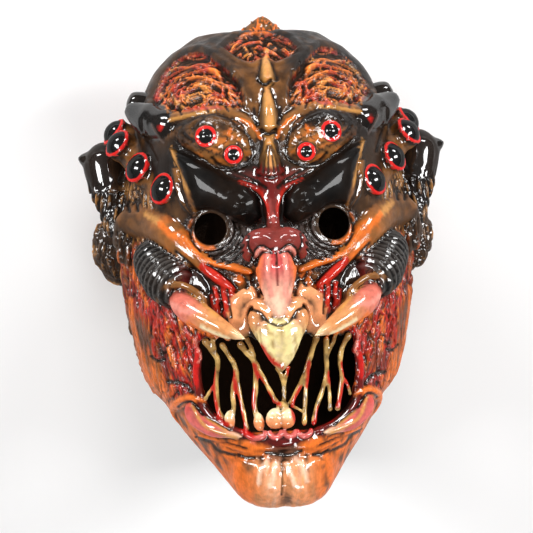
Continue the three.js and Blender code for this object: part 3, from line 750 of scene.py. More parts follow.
BROW_MARKS = [
    ("deep_red", 1.6, 0.4, [(8, 32.5), (4.5, 28), (2, 24.5), (0.5, 16.5)]),
    ("black", 0.9, -0.9, [(25, 31), (18.5, 27.5), (7.5, 24), (3.5, 21)]),
    ("black", 0.9, -0.8, [(21, 32), (15, 29), (8, 25.5), (3, 21.5)]),
    ("red", 1.6, 0.7, [(16.5, 25.5), (11, 23), (6.5, 20), (3, 12), (2.5, 6.5)]),
    ("black", 1.4, -1.4, [(11.5, 20.5), (7.5, 17.5), (5, 13), (4, 7.5), (4.5, 1)]),
    ("brown", 2.0, 0.4, [(49, 25), (45, 20.5), (43.5, 15.5)]),
]
STRAP_MARKS = [
    ("orange", 2.6, 0.6, [(48, -3), (39, -14.5), (33.5, -17), (20, -22), (14, -23.5)]),
    ("red", 1.8, 0.5, [(39, -18), (36, -22.5), (26.5, -30.5), (23.5, -34.5)]),
    ("black", 1.3, -1.4, [(36, -18), (32.5, -20), (24.5, -26.5), (21, -30.5)]),
    ("black", 1.6, -1.4, [(52.5, -10.5), (44, -18.5), (37, -27.5), (35.5, -33)]),
    ("black", 2.0, -1.2, [(17.5, -25.5), (15, -28.5), (16, -31.5)]),
    ("black", 1.8, -1.2, [(12.5, -27.5), (11, -32), (9.5, -36)]),
    ("orange", 1.0, 0.5, [(19.5, -24.5), (17.5, -26.5), (19, -29.5)]),
    ("black", 1.2, -1.2, [(14, -4), (14.5, -9), (12.5, -13.5), (10.5, -18.5)]),
    ("black", 1.4, -1.4, [(42.5, 5), (44, 0), (42.5, -6), (39, -10.5)]),
]
CHEEK_MARKS = [
    ("black", 1.4, -1.4, [(68, -67), (65, -69.5), (62, -69)]),
    ("black", 2.2, -1.6, [(59.5, -81), (55.5, -81.5), (51, -82.5), (47.5, -86.5)]),
    ("bright_red", 2.8, 1.0, [(42, -54.5), (44, -61), (43, -67.5), (45, -74.5), (44.5, -82)]),
    # The thin pink line along the bright red strip is a painted highlight
    ("pink", 0.7, 0.7, [(44, -56), (43.5, -61.5), (41.5, -67), (43, -70.5)]),
    ("red", 1.6, 0.9, [(49.5, -64.5), (51, -69), (50, -73.5)]),
    ("red", 1.6, 0.9, [(47, -61), (47.5, -66), (46, -70)]),
    ("red", 1.6, 0.8, [(66.5, -58), (66.5, -63.5), (65, -67.5)]),
    ("orange", 2.4, 0.5, [(78, -35.5), (77, -50), (71, -76.5), (68, -83.5)]),
    ("orange", 1.6, 0.5, [(77, -18), (74.5, -25), (69, -38.5)]),
]
JAW_MARKS = [
    ("black", 1.0, -1.0, [(45.5, -112), (41, -113), (28.5, -115), (20, -117.5)]),
    ("orange", 1.5, 0.6, [(43.5, -111), (36.5, -113), (18, -119.5), (11.5, -120.5)]),
    ("orange", 1.4, 0.6, [(31, -117.5), (26, -120.5), (21.5, -123.5)]),
    ("umber", 1.6, -0.8, [(44, -112.5), (38.5, -114.5), (34, -119), (25.5, -121)]),
    ("umber", 1.6, -0.9, [(24.5, -121), (20, -122.5), (16, -122.5)]),
]
BEAK_MARKS = [
    ("umber", 0.9, -1.0, [(0, -13), (0.3, -16), (0, -19.5)]),
    *with_mirror([
        ("black", 0.9, -1.2, [(3, -12), (7, -9.5), (11, -11.5), (12.5, -17)]),
        # The pink lines on the nostril curls are painted highlights
        ("pink", 1.0, 0.6, [(4, -13), (7.5, -11), (10, -13), (11, -17)]),
        ("black", 0.8, -1.0, [(2, -13.5), (6.5, -13), (9, -15.5), (10.5, -20)]),
    ]),
    ("dark_pink", 0.5, -0.3, [(0, -20), (0, -25), (0, -31)]),
    *with_mirror([("pink", 2.4, 0.4, [(-4.2, -15), (-5, -24), (-3.6, -36)])]),
    ("umber", 1.0, -0.8, [(-14, -43), (-9.6, -45), (-6.2, -49.5), (0, -52.2), (6.2, -49.5), (9.6, -45),
     (14, -43)]),
]
CHIN_MARKS = [
    # The blush lines beside the middle of the chin are low ridges painted pale as highlights
    ("blush", 2.6, 0.4, [(-4.5, -126), (-6.5, -132), (-8, -138)]),
    ("blush", 2.2, 0.4, [(1.5, -126.5), (3.5, -133), (5, -138)]),
    ("blush", 2.2, 0.3, [(-8.5, -124), (-12.5, -129), (-14, -136)]),
    ("blush", 2.2, 0.3, [(6.5, -124), (10.5, -129), (12, -136)]),
    ("brown", 0.8, -0.5, [(-1.5, -125.5), (-1.5, -133.5), (-2, -143)]),
    ("umber", 1.6, -0.9, [(9.5, -120), (2, -122), (-9.5, -120)]),
]
FANG_MARKS = [
    ("pink", 2.4, 0.0, [(56, -38.5), (49, -43), (43, -42)]),
    ("tan", 1.2, 0.3, [(47, -32.5), (43, -35.5), (32.5, -45.5)]),
    ("orange", 2.2, 0.0, [(48.5, -48.5), (41.5, -53.5), (26, -59.5)]),
    ("bone", 0.9, 0.2, [(41.5, -51), (34, -55), (27, -58)]),
    ("tan", 1.4, 0.5, [(47, -94), (44, -101), (39, -106), (25, -111.5)]),
    ("orange", 1.4, 0.5, [(56, -92.5), (51.5, -90), (45, -89.5), (40.5, -92)]),
    ("black", 1.1, -1.2, [(54.5, -95), (51.5, -92.5), (47.5, -92), (42, -98.5)]),
    ("black", 1.2, -1.0, [(41, -93), (37, -97.5), (28, -107)]),
]
SIDE_MARKS = [
    ("black", 1.8, -1.6, [(76, 19), (77, 16.5), (76.5, 13.5)]),
    ("black", 1.6, -1.6, [(72.5, 19.5), (72, 16.5), (72, 13.5)]),
    ("tan", 3.0, 0.0, [(67.5, 11.5), (63, 7.5), (59, 4)]),
    ("orange", 3.0, 0.0, [(60, 5), (56, 0.5), (52, -3), (47, -7.5)]),
    ("black", 1.4, -1.2, [(48, 26), (46.5, 19.5), (45, 14), (42.5, 9.5)]),
    ("tan", 1.2, 0.4, [(52, 46.5), (50, 36.5), (44.5, 20.5)]),
    ("bright_red", 1.6, 0.0, [(57.5, 57), (56.5, 58.5)]),
    ("black", 1.6, -1.0, [(67.5, 63), (66.5, 55.5), (60.5, 40)]),
    ("grey", 0.8, 0.4, [(62, 59.5), (59.5, 54.5), (56, 49.5)]),
]

PAIRED_MARKS = (WINDOW_MARKS + POD_MARKS + BROW_MARKS + STRAP_MARKS + CHEEK_MARKS + JAW_MARKS
                + FANG_MARKS + SIDE_MARKS)
SINGLE_MARKS = CENTRE_MARKS + CHIN_MARKS + BEAK_MARKS


def arc(cx, cy, radius, first, last, squeeze=1.0):
    """Nine places on an arc round (cx, cy), from one angle to another in degrees."""
    turn = np.radians(np.linspace(first, last, 9))
    return list(zip(cx + radius * np.cos(turn), cy + radius * squeeze * np.sin(turn)))


# Folds round the eye holes: angles where each starts and ends, the radius of the first, and their step
FOLD_TURNS = [(150, 285), (165, 275), (197, 268), (212, 262), (222, 250)]
FIRST_FOLD = 12.0
FOLD_STEP = 2.1


def eye_hole_folds():
    """Fine wrinkles round the inner and lower side of each eye hole."""
    rows = []
    for k, (first, last) in enumerate(FOLD_TURNS):
        reach = FIRST_FOLD + FOLD_STEP * k
        rows.append(("grey", 1.0, 1.1, arc(EYE_HOLE_X, EYE_HOLE_Y, reach, first, last, 0.95)))
        rows.append(("black", 1.0, -1.3, arc(EYE_HOLE_X, EYE_HOLE_Y, reach + 1.1, first, last, 0.95)))
    rows.append(("orange", 1.8, 0.6, arc(EYE_HOLE_X, EYE_HOLE_Y, 10.6, 265, 385)))
    return rows


def gill_lines():
    """Slanting flesh lines under the upper fang, and the lobes behind the barrel."""
    rows = []
    for k in range(5):
        x, y = 45 + 4.1 * k, -56 + 2.4 * k + 1.8 * math.sin(2.4 * k)
        bend = 1.6 * math.cos(1.9 * k)
        rows.append(("red", 0.9, 0.5, [(x, y), (x + 3.5 + bend, y - 6), (x + 3, y - 11 - 2 * bend)]))
    for x, end in ((25.5, -47), (29.8, -43), (33.6, -39)):
        rows.append(("black", 1.0, -1.6, [(x + 0.8, -32), (x, (end - 32) / 2), (x - 0.4, end)]))
    return rows


def thorn_flutes():
    """Grooves that run up the lowest thorn, and black pockets at the feet of all three: painted shadow under
    the thorns.
    """
    rows = []
    for x in (-4.4, -1.7, 1.7, 4.4):
        rows.append(("umber", 0.7, -0.9, [(x, 29), (x * 0.7, 37), (x * 0.3, 44)]))
    # Black pockets at the thorns' feet: painted shadow
    for foot, half in ((79, 3.2), (51.5, 3.8), (27.5, 6.5)):
        rows.append(("black", 1.6, -1.4, [(-half, foot + 1), (0, foot - 1), (half, foot + 1)]))
    return rows


def fine_line(points, count):
    """Places on a smooth line through places of the front view."""
    return along_curve([(x, y, 0) for x, y in points], np.linspace(0, 1, count))[0][:, :2]


STITCH_COUNT = 15


def stitches(outline, first, last):
    """Short scratches across the edge of a window, between two of its corners."""
    fine = fine_line(outline[first:last], STITCH_COUNT)
    step = np.gradient(fine, axis=0)
    middle = np.mean(np.array(outline), axis=0)
    rows = []
    for k, ((x, y), (dx, dy)) in enumerate(zip(fine, step)):
        way = unit((dy, -dx))
        way = way if way @ (middle - (x, y)) > 0 else -way
        reach = 2.2 + 1.2 * math.sin(k * 2.3)
        paint, height = ("brown", 0.8) if k % 2 else ("black", -1.2)
        start = (x - way[0] * 0.8, y - way[1] * 0.8)
        rows.append((paint, 0.9, height, [start, (x + way[0] * reach + 1.2, y + way[1] * reach)]))
    return rows


WART_COUNT = 11
WARTS_A_ROW = 4


def warts():
    """Small beads on the inner end of each brow plate."""
    rows = []
    for k in range(WART_COUNT):
        x = 13 + 1.9 * (k % WARTS_A_ROW) + 0.6 * math.sin(k * 1.7)
        y = 9.5 + 2.3 * (k // WARTS_A_ROW) + 0.7 * math.cos(k * 2.9)
        rows.append(("jet", 1.1, 0.8, [(x, y), (x + 0.5, y + 0.3)]))
    return rows


def mark_list():
    """Every mark of both sides, as paint, width, height and a fine line of places."""
    paired = PAIRED_MARKS + eye_hole_folds() + gill_lines() + warts()
    paired += stitches(SIDE_WINDOW, 9, 19)
    rows = SINGLE_MARKS + thorn_flutes() + paired
    rows += [(paint, width, height, mirrored(points)) for paint, width, height, points in paired]
    return [(paint, width, height, fine_line(points, 5 * len(points) - 4))
            for paint, width, height, points in rows]


def line_distance(x, y, line, reach):
    """Rows of the places within reach of a line, and how far they are from it."""
    low, high = line.min(0) - reach, line.max(0) + reach
    near = np.where((x > low[0]) & (x < high[0]) & (y > low[1]) & (y < high[1]))[0]
    px, py = x[near, None], y[near, None]
    start, step = line[:-1], np.diff(line, axis=0)
    length = np.maximum((step**2).sum(1), 1e-9)
    t = np.clip(((px - start[:, 0]) * step[:, 0] + (py - start[:, 1]) * step[:, 1]) / length, 0, 1)
    gap = np.hypot(px - start[:, 0] - t * step[:, 0], py - start[:, 1] - t * step[:, 1])
    return near, gap.min(1)


GROOVE_SHARE = 0.7
DEEPEST = -3.3
MARKED_Z = -5
BLOOD_Z = 40


def marks_relief(p):
    """Height of the marks at places p: the highest ridge and the deepest groove together."""
    ridge = np.zeros(len(p))
    groove = np.zeros(len(p))
    front = np.where(p[:, 2] > MARKED_Z)[0]
    x, y = p[front, 0], p[front, 1]
    for _, width, height, line in mark_list():
        reach = 0.5 * width + 0.55
        near, gap = line_distance(x, y, line, reach)
        share = np.clip(1 - (gap / reach) ** 2, 0, 1)
        rows = front[near]
        if height > 0:
            ridge[rows] = np.maximum(ridge[rows], height * share)
        else:
            groove[rows] = np.minimum(groove[rows], GROOVE_SHARE * height * share)
    return ridge, groove


# Middles that the sinews of the windows run round
WINDOW_MIDDLE = (36, 60)
CENTRE_MIDDLE_Y = 82


def flows(p, r):
    """Way the surface runs at places p: millimetres along and across it, and how rough it is."""
    side, y = r["side"], p[:, 1]
    turn = np.arctan2(p[:, 0], p[:, 2])
    along, across = y.copy(), turn * 80
    rough = np.full(len(p), 0.08)

    def lay(share, new_along, new_across, new_rough):
        nonlocal along, across, rough
        chosen = share > 0.5
        along = np.where(chosen, new_along, along)
        across = np.where(chosen, new_across, across)
        rough = rough * (1 - share) + share * new_rough

    lay(np.maximum(r["cheek"], r["hem"]), y, r["jaw_line"], 1.0)
    lay(ease(60, 66, side) * ease(-20, 0, p[:, 2]) * ease(30, 20, y), y, side * 1.3 - p[:, 2] * 0.5, 0.8)
    right, up = side - WINDOW_MIDDLE[0], y - WINDOW_MIDDLE[1]
    lay(r["window"], np.arctan2(up, right) * 25, np.hypot(right, up), 1.0)
    up = y - CENTRE_MIDDLE_Y
    lay(r["centre"], np.arctan2(up, p[:, 0]) * 20, np.hypot(p[:, 0], up), 1.0)
    lay(r["socket"], np.arctan2(y - EYE_HOLE_Y, side - EYE_HOLE_X) * 14, r["hole"], 0.9)
    lay(ease(0.3, 0.8, r["pod"]) * r["front"] * (1 - r["window"]), *pod_slant(side, y), 0.2)
    rough = rough * (1 - 0.9 * r["brow"])
    rough = np.maximum(rough, 0.15 * r["jaw"])
    return along, across, np.clip(rough, 0, 1)


def pod_slant(side, y):
    """Places along and across the slant of the lids over the eyes of the brow."""
    return side * 0.9 + y * 0.4, y * 0.9 - side * 0.4


def sinews(along, across):
    """Net of thin threads, 1 on a thread, in the sunken windows of the skull."""
    return np.maximum(lines(fibres(along, across, 32, 3.8, 61), 0.32),
                      0.8 * lines(fibres(along, across, 11, 7, 62), 0.2))


def tube_grooves(p):
    """Grooves around the dark tubes of the upper fangs, 1 at their bottom, and where they run."""
    depth = np.zeros(len(p))
    ribbed = np.zeros(len(p))
    for form in front_forms:
        if form.paint == "barrel":
            d, share = form.distance(p)
            here = ease(2, 1, d) * ease(0.02, 0.1, share) * ease(40, 50, np.abs(p[:, 0]))
            depth = np.maximum(depth, here * (0.5 - 0.5 * np.cos(2 * np.pi * TUBE_RIBS * share)))
            ribbed = np.maximum(ribbed, here)
    return depth, ribbed


def rib_top_highlight(p):
    """Tops of the ribs between those grooves, where grey is painted on as a highlight."""
    depth, ribbed = tube_grooves(p)
    return ease(0.25, 0.0, depth) * ribbed


def peak_share(p):
    """Where the fleshy peak on top of the skull shows."""
    share = np.zeros(len(p))
    for form in shell_forms:
        if form.paint == "crest":
            share = ease(2.6, 1.2, form.distance(p)[0])
    return share * ease(101, 105, p[:, 1]) * ease(-4, 4, p[:, 2])


def peak_folds(p):
    """Thin folds that run up the peak."""
    return lines(fibres(p[:, 1], p[:, 0], 9, 3.4, 51), 0.4)


class Skin:
    """What the carving and the paint need to know of places p on the mask."""

    def __init__(self, p):
        self.p = p
        self.side, self.y, self.z = np.abs(p[:, 0]), p[:, 1], p[:, 2]
        self.r = regions(p)
        self.along, self.across, self.rough = flows(p, self.r)
        self.streak = fibres(self.along, self.across, 12, 2.6, 41)
        self.muscle = fibres(self.along, self.across, 24, 3.0, 41)
        self.splits = fibres(self.along, self.across, 20, 4.6, 49)


WINDOW_DEPTH = 2.0
BROW_HEIGHT = 6.2
BROW_SLOPE = 11


def window_relief(skin):
    """The sunken windows, lines on the pods, rolled edges, a coarse web behind and sinews in front."""
    inside, front, turn = skin.r["inside"], skin.r["front"], skin.r["around"] * 1.4
    behind = inside * ease(0, -2, skin.z)
    pod = ease(0.3, 0.9, skin.r["pod"]) * front
    return [
        -WINDOW_DEPTH * inside,
        -0.5 * pod * lines(fibres(skin.side, skin.y + 0.4 * skin.side, 12, 3.4, 55), 0.25),
        2.1 * lines(skin.r["window_in"] + 2.2, 2.0) * front,
        1.6 * lines(skin.r["centre_in"] + 2.1, 1.8) * front,
        behind * (1.7 * lines(fibres(turn, skin.y, 10, 5, 47), 0.5)
                  + 1.2 * lines(fibres(skin.y, turn, 8, 7, 48), 0.3) - 0.4),
        inside * ease(0, 4, skin.z) * (1.9 * sinews(skin.along, skin.across) + 0.25 * skin.streak - 0.9),
    ]


def brow_relief(skin):
    """Domed brow plates with a ledge under them."""
    dome = np.sqrt(np.clip(1 - (1 - np.clip(skin.r["brow_in"], 0, BROW_SLOPE) / BROW_SLOPE) ** 2, 0, 1))
    plate = (BROW_HEIGHT * dome + 0.9 * disc(skin.side, skin.y, *PLATE_END)) * skin.r["brow"]
    return [plate, 2.2 * skin.r["ledge"] * (1 - skin.r["brow"])]


def cheek_relief(skin, knots):
    """Muscle strands on the cheeks and coarser ones on the sides of the head."""
    cheek = skin.r["cheek"] * (0.65 * skin.muscle - 1.3 * lines(skin.splits, 0.2) + 0.4 * knots)
    sides = ease(60, 68, skin.side) * ease(34, 22, skin.y) * ease(-40, -20, skin.z) * (1 - skin.r["cheek"])
    return [cheek * (1 - 0.8 * skin.r["hem"]), sides * (0.5 * skin.streak - 1.0 * lines(skin.streak, 0.35))]


def skull_relief(skin):
    """Bands of the skull, which stand up between the windows."""
    rise = ease(0, 7, -np.maximum(skin.r["window_in"], skin.r["centre_in"])) * ease(48, 60, skin.y)
    return [1.8 * rise * skin.r["front"]]


def lower_relief(skin, knots):
    """Wrinkles of the eye sockets, the chin and the nape, and knots beside the nose."""
    socket = skin.r["socket"] * (1 - skin.r["brow"])
    chin = skin.r["jaw"] * ease(-116, -124, skin.y) * ease(26, 14, skin.side)
    nape = ease(8, -8, skin.z) * (1 - skin.r["inside"]) * ease(40, 10, skin.y)
    return [
        socket * (0.35 * fibres(skin.along, skin.across, 14, 1.9, 44) - 0.8),
        chin * 0.12 * fibres(skin.y, skin.side, 30, 3.6, 45),
        nape * (0.35 * knots - 0.7 * lines(waves(skin.p * (1, 1.8, 1), 9, 46), 0.3)),
        skin.r["nose_side"] * (0.5 * knots - 1.2 * lines(waves(skin.p, 5, 53), 0.3)),
    ]


def fine_carving(p, bare):
    """Small relief added to the fused surface, along its normals.  Bare is the share of plain head."""
    skin = Skin(p)
    ridge, groove = marks_relief(p)
    knots = waves(p, 4.5, 43)
    height = sum(window_relief(skin) + brow_relief(skin) + cheek_relief(skin, knots) + skull_relief(skin)
                 + lower_relief(skin, knots))
    height *= bare
    height -= tube_grooves(p)[0]
    height += peak_share(p) * (0.9 * peak_folds(p) - 0.5)
    return np.maximum(height + ridge * 0.9 + groove, DEEPEST)


def vertex_values(mesh, name):
    values = np.empty(len(mesh.vertices) * 3)
    mesh.vertices.foreach_get(name, values)
    return values.reshape(-1, 3)


def mesh_places(mesh):
    return vertex_values(mesh, "co")


def mesh_normals(mesh):
    return vertex_values(mesh, "normal")


def set_places(mesh, places):
    mesh.vertices.foreach_set("co", places.ravel())
    mesh.update()


def mesh_object(name, places, faces):
    """A new mesh object of closed bodies, its faces turned outward."""
    mesh = bpy.data.meshes.new(name)
    mesh.from_pydata(places, [], faces)
    piece = bpy.data.objects.new(name, mesh)
    bpy.context.collection.objects.link(piece)
    outward_faces(piece)
    return piece


def prism(name, outline, near, far):
    """A closed prism between two outlines with the same number of places."""
    count = len(outline(near))
    faces = [tuple(range(count)), tuple(range(2 * count - 1, count - 1, -1))]
    faces += [(i, (i + 1) % count, (i + 1) % count + count, i + count) for i in range(count)]
    return mesh_object(name, outline(near) + outline(far), faces)


# The rings of the head lie closer together at the crown: this share of them takes this share of its height
UPPER_RINGS = 0.625
UPPER_PACE = 1.6
UPPER_HEIGHT = 0.62
LOWER_HEIGHT = 0.38
THINNEST = 0.5
HEAD_MIDDLE = (0, -20, 0)


def head_object(name, inset, sides, rings, carved):
    """The closed head form as a mesh object: a ball whose rings become the sections."""
    bpy.ops.mesh.primitive_uv_sphere_add(segments=sides, ring_count=rings, radius=1)
    head = bpy.context.object
    head.name = name
    mesh = head.data
    unit_places = mesh_places(mesh)
    share = np.arccos(np.clip(unit_places[:, 2], -1, 1)) / np.pi
    turn = np.arctan2(unit_places[:, 1], unit_places[:, 0])
    top = CROWN_Y - inset
    bow = 1 - np.cos(np.clip(share * UPPER_PACE, 0, 1) * np.pi * 0.5)
    straight = UPPER_HEIGHT + (share - UPPER_RINGS) / (1 - UPPER_RINGS) * LOWER_HEIGHT
    y = top - (top - BOTTOM_Y) * np.where(share < UPPER_RINGS, bow * UPPER_HEIGHT, straight)
    s = station_at(np.where(y > 0, y * CROWN_Y / top, y))
    pole = (share < 1e-4) | (share > 1 - 1e-4)
    half = np.where(pole, 0, np.maximum(THINNEST, s[:, 0] - inset))
    sine, cosine = np.sin(turn), np.cos(turn)
    depth = np.where(pole, 0, np.maximum(THINNEST, np.where(cosine > 0, s[:, 1], s[:, 2]) - inset))
    power = 2 / s[:, 3]
    x = half * np.sign(sine) * np.abs(sine) ** power
    z = depth * np.sign(cosine) * np.abs(cosine) ** power
    places = np.stack([x, y, np.maximum(z, BACK_REST_Z + inset)], axis=1)
    set_places(mesh, places)
    if carved:
        normals = mesh_normals(mesh)
        outward = np.sign(np.einsum("ij,ij->i", normals, places - HEAD_MIDDLE).mean())
        set_places(mesh, places + normals * (outward * carving(places))[:, None])
    outward_faces(head)
    return head


def forms_object(name, forms):
    """All the forms as one mesh object of overlapping closed bodies."""
    places, faces = [], []
    count = 0
    for form in forms:
        p, f = form.mesh()
        places.append(p)
        faces += [tuple(i + count for i in face) for face in f]
        count += len(p)
    return mesh_object(name, np.vstack(places).tolist(), faces)


def only(piece):
    """Makes a piece the only one chosen."""
    bpy.ops.object.select_all(action="DESELECT")
    piece.select_set(True)
    bpy.context.view_layer.objects.active = piece


def outward_faces(piece):
    """Joins doubled places and turns all faces outward."""
    only(piece)
    bpy.ops.object.mode_set(mode="EDIT")
    bpy.ops.mesh.select_all(action="SELECT")
    bpy.ops.mesh.remove_doubles(threshold=1e-5)
    bpy.ops.mesh.normals_make_consistent(inside=False)
    bpy.ops.object.mode_set(mode="OBJECT")


def apply(piece, kind, **settings):
    """Runs one modifier on a piece."""
    only(piece)
    modifier = piece.modifiers.new("work", kind)
    for key, value in settings.items():
        setattr(modifier, key, value)
    bpy.ops.object.modifier_apply(modifier=modifier.name)


def fuse(piece, forms, size):
    """Joins a piece with forms and makes one skin of them."""
    for other in forms:
        other.select_set(True)
    piece.select_set(True)
    bpy.context.view_layer.objects.active = piece
    bpy.ops.object.join()
    apply(piece, "REMESH", mode="VOXEL", voxel_size=size)


def cut(piece, tool):
    """Takes the tool's body out of a piece."""
    apply(piece, "BOOLEAN", operation="DIFFERENCE", solver="MANIFOLD", object=tool)
    bpy.data.objects.remove(tool)


# Neck opening, seen from the side: the level rim, the slant up to it, and the lower edge of the nape flap
RIM_Y = -90.0
RIM_FRONT_Z = 10.0
RIM_BACK_Z = -12.0
CHIN_SLOPE = 0.77
NAPE_Y = -124.0
NAPE_Z = -40.0
CUT_REACH = 170.0
CUT_BOTTOM_Y = -280.0
CUT_HALF = 150.0


def neck_tool():
    """A prism below the rim: level at the sides, slanting down to the chin and to the nape flap."""
    slant_end = RIM_Y - CHIN_SLOPE * (CUT_REACH - RIM_FRONT_Z)
    profile = [(NAPE_Y, -CUT_REACH), (NAPE_Y, NAPE_Z), (RIM_Y, RIM_BACK_Z), (RIM_Y, RIM_FRONT_Z),
               (slant_end, CUT_REACH), (CUT_BOTTOM_Y, CUT_REACH), (CUT_BOTTOM_Y, -CUT_REACH)]
    return prism("neck_tool", lambda x: [(x, y, z) for y, z in profile], -CUT_HALF, CUT_HALF)


HOLE_TOOL_Z = 95
HOLE_TOOL_DEPTH = 80


def hole_tool(sign):
    bpy.ops.mesh.primitive_cylinder_add(vertices=48, radius=EYE_HOLE_RADIUS, depth=HOLE_TOOL_DEPTH,
                                        location=(EYE_HOLE_X * sign, EYE_HOLE_Y, HOLE_TOOL_Z))
    tool = bpy.context.object
    bpy.ops.object.transform_apply(location=True)
    return tool


# Mouth slot: its corners, how far its lower edge falls, and the depths the tool reaches between
MOUTH_CORNER_X = -MOUTH_HALF - 1
MOUTH_CORNER_Y = -84
MOUTH_FALL = 25
MOUTH_BACK_Z = 45.0
MOUTH_FRONT_Z = 135.0


def mouth_tool():
    """The mouth slot as a thick plate: a wavy gum above, a bowed lip below."""
    gum = [(x, MOUTH_TOP_Y + 1.6 + 1.8 * math.cos(x * 0.82)) for x in np.linspace(0, -MOUTH_HALF, 24)]
    lip = [(MOUTH_CORNER_X + 7 * t + 20 * t * t, MOUTH_CORNER_Y - MOUTH_FALL * math.sin(t * math.pi / 2))
           for t in np.linspace(0.1, 1, 8)]
    left = gum[1:] + [(MOUTH_CORNER_X, MOUTH_CORNER_Y)] + lip
    outline = left + [(-x, y) for x, y in reversed(left)]
    return prism("mouth_tool", lambda z: [(x, y, z) for x, y in outline], MOUTH_BACK_Z, MOUTH_FRONT_Z)


SKIN_SIZE = 0.85
LIMIT = 194000
REAR_SHARE = 0.05
SOFTENING = 0.6
SOFT_ROUNDS = 6
WRINKLED = ("horn_root", "ear", "boss", "pod")

shell_forms = (crown_forms() + eye_forms() + horn_forms() + brow_forms() + strap_forms() + rim_forms())
front_forms = beak_forms() + fang_forms() + lower_fang_forms()
thin_forms = mouth_forms()
all_forms = shell_forms + front_forms + thin_forms


def nearest_form(p, forms):
    """Distance from places to the nearest form that stands out of the head."""
    least = np.full(len(p), OFF_FORM)
    for form in forms:
        least = np.minimum(least, form.distance(p)[0])
    return least


def neighbours(mesh):
    edges = np.empty(len(mesh.edges) * 2, dtype=np.int64)
    mesh.edges.foreach_get("vertices", edges)
    a, b = edges.reshape(-1, 2).T
    count = np.bincount(np.concatenate([a, b]), minlength=len(mesh.vertices)).astype(float)
    return a, b, np.maximum(count, 1)[:, None]


def mean_place(places, a, b, count):
    """Mean of the neighbours of each place."""
    total = np.empty_like(places)
    for k in range(3):
        total[:, k] = np.bincount(a, places[b, k], len(places)) + np.bincount(b, places[a, k], len(places))
    return total / count


def soften(mesh, places, rounds):
    """Lets the forms flow into one another, but for the eyes."""
    a, b, count = neighbours(mesh)
    share = np.full(len(places), SOFTENING)
    for eye in eye_list():
        away = np.linalg.norm(places - eye.place, axis=1)
        share = np.minimum(share, SOFTENING * ease(eye.ring + 0.8, eye.ring + 3, away))
    for _ in range(rounds):
        places = places + share[:, None] * (mean_place(places, a, b, count) - places)
    return places


def round_domes(mesh):
    """Brings the places on the eyes' domes to true balls, so that they shine cleanly."""
    p = mesh_places(mesh)
    for eye in eye_list():
        middle, radius = dome_of(eye)
        o = p - middle
        reach = np.linalg.norm(o, axis=1)
        away = np.linalg.norm(o - (o @ eye.way)[:, None] * eye.way, axis=1)
        on_dome = (np.abs(reach - radius) < 1.2) & (away < eye.dome * 0.97) & (o @ eye.way > 0)
        p[on_dome] = middle + o[on_dome] * (radius / reach[on_dome])[:, None]
    set_places(mesh, p)


def thin_out(piece):
    """Takes faces away, first from the inner wall and the back, and keeps the face fine."""
    mesh = piece.data
    faces = sum(len(p.vertices) - 2 for p in mesh.polygons)
    if faces <= LIMIT:
        return
    p = mesh_places(mesh)
    inner = ease(-1.2, -2.4, inner_depth(p)) * ease(8, 3, nearest_form(p, thin_forms))
    free = np.maximum(inner, ease(10, -15, p[:, 2]))
    group = piece.vertex_groups.new(name="rear")
    for step in range(1, 11):
        rows = np.where(np.clip(np.round(free * 10), 1, 10) == step)[0]
        group.add(rows.tolist(), step / 10, "REPLACE")
    apply(piece, "DECIMATE", ratio=LIMIT / faces, vertex_group="rear", vertex_group_factor=REAR_SHARE)
    piece.vertex_groups.clear()


def mask_mesh():
    shell = head_object("mask_shell_painted", 0.0, 240, 170, True)
    fuse(shell, [forms_object("forms", shell_forms)], SKIN_SIZE)
    hollow = head_object("hollow", WALL, 72, 60, False)
    cut(shell, mouth_tool())
    fuse(shell, [forms_object("front_forms", front_forms)], SKIN_SIZE)
    mesh = shell.data
    places = mesh_places(mesh)
    places = soften(mesh, places, SOFT_ROUNDS)
    set_places(mesh, places)
    smooth_forms = [form for form in shell_forms + front_forms if form.paint not in WRINKLED]
    bare = ease(0.2, 2.0, nearest_form(places, smooth_forms))
    set_places(mesh, places + mesh_normals(mesh) * fine_carving(places, bare)[:, None])
    round_domes(mesh)
    cut(shell, hollow)
    cut(shell, neck_tool())
    for sign in (1, -1):
        cut(shell, hole_tool(sign))
    thin = forms_object("strands", thin_forms)
    apply(thin, "REMESH", mode="VOXEL", voxel_size=SKIN_SIZE * 0.75)
    apply(shell, "BOOLEAN", operation="UNION", solver="MANIFOLD", object=thin)
    bpy.data.objects.remove(thin)
    thin_out(shell)
    return shell


def tint(code):
    """Linear colour of a six digit paint code."""
    parts = [int(code[i:i + 2], 16) / 255 for i in (0, 2, 4)]
    return np.array([c / 12.92 if c <= 0.04045 else ((c + 0.055) / 1.055) ** 2.4 for c in parts])


# ash is the grey of the painted highlight on the ribs of the fang tubes
PAINT_CODES = {
    "jet": "0c0a09", "black": "17110e", "umber": "3a291c", "brown": "7c5028", "olive": "83602f",
    "tan": "bd8545", "ochre": "b5652a", "sand": "c98753", "orange": "da6c26", "bright_orange": "f6953f",
    "red": "b2261a", "deep_red": "5e110e", "bright_red": "c81a16", "crimson": "b03434",
    "dark_pink": "7c302b", "rose": "c8605a", "pink": "dc8878", "blush": "f0bfa2", "peach": "e39a68",
    "cream": "d9c589", "bone": "ecd9ae", "tendon": "c9a562", "grey": "4c403c", "ash": "7d7772",
    "inside": "2a1d14",
}
PAINT = {name: tint(code) for name, code in PAINT_CODES.items()}


def creases(mesh, places, rounds):
    """How sunken each place is against its surroundings: above 0 in grooves, below 0 on ridges."""
    a, b, count = neighbours(mesh)
    soft = places.copy()
    for _ in range(rounds):
        soft = 0.5 * (soft + mean_place(soft, a, b, count))
    return np.einsum("ij,ij->i", soft - places, mesh_normals(mesh))


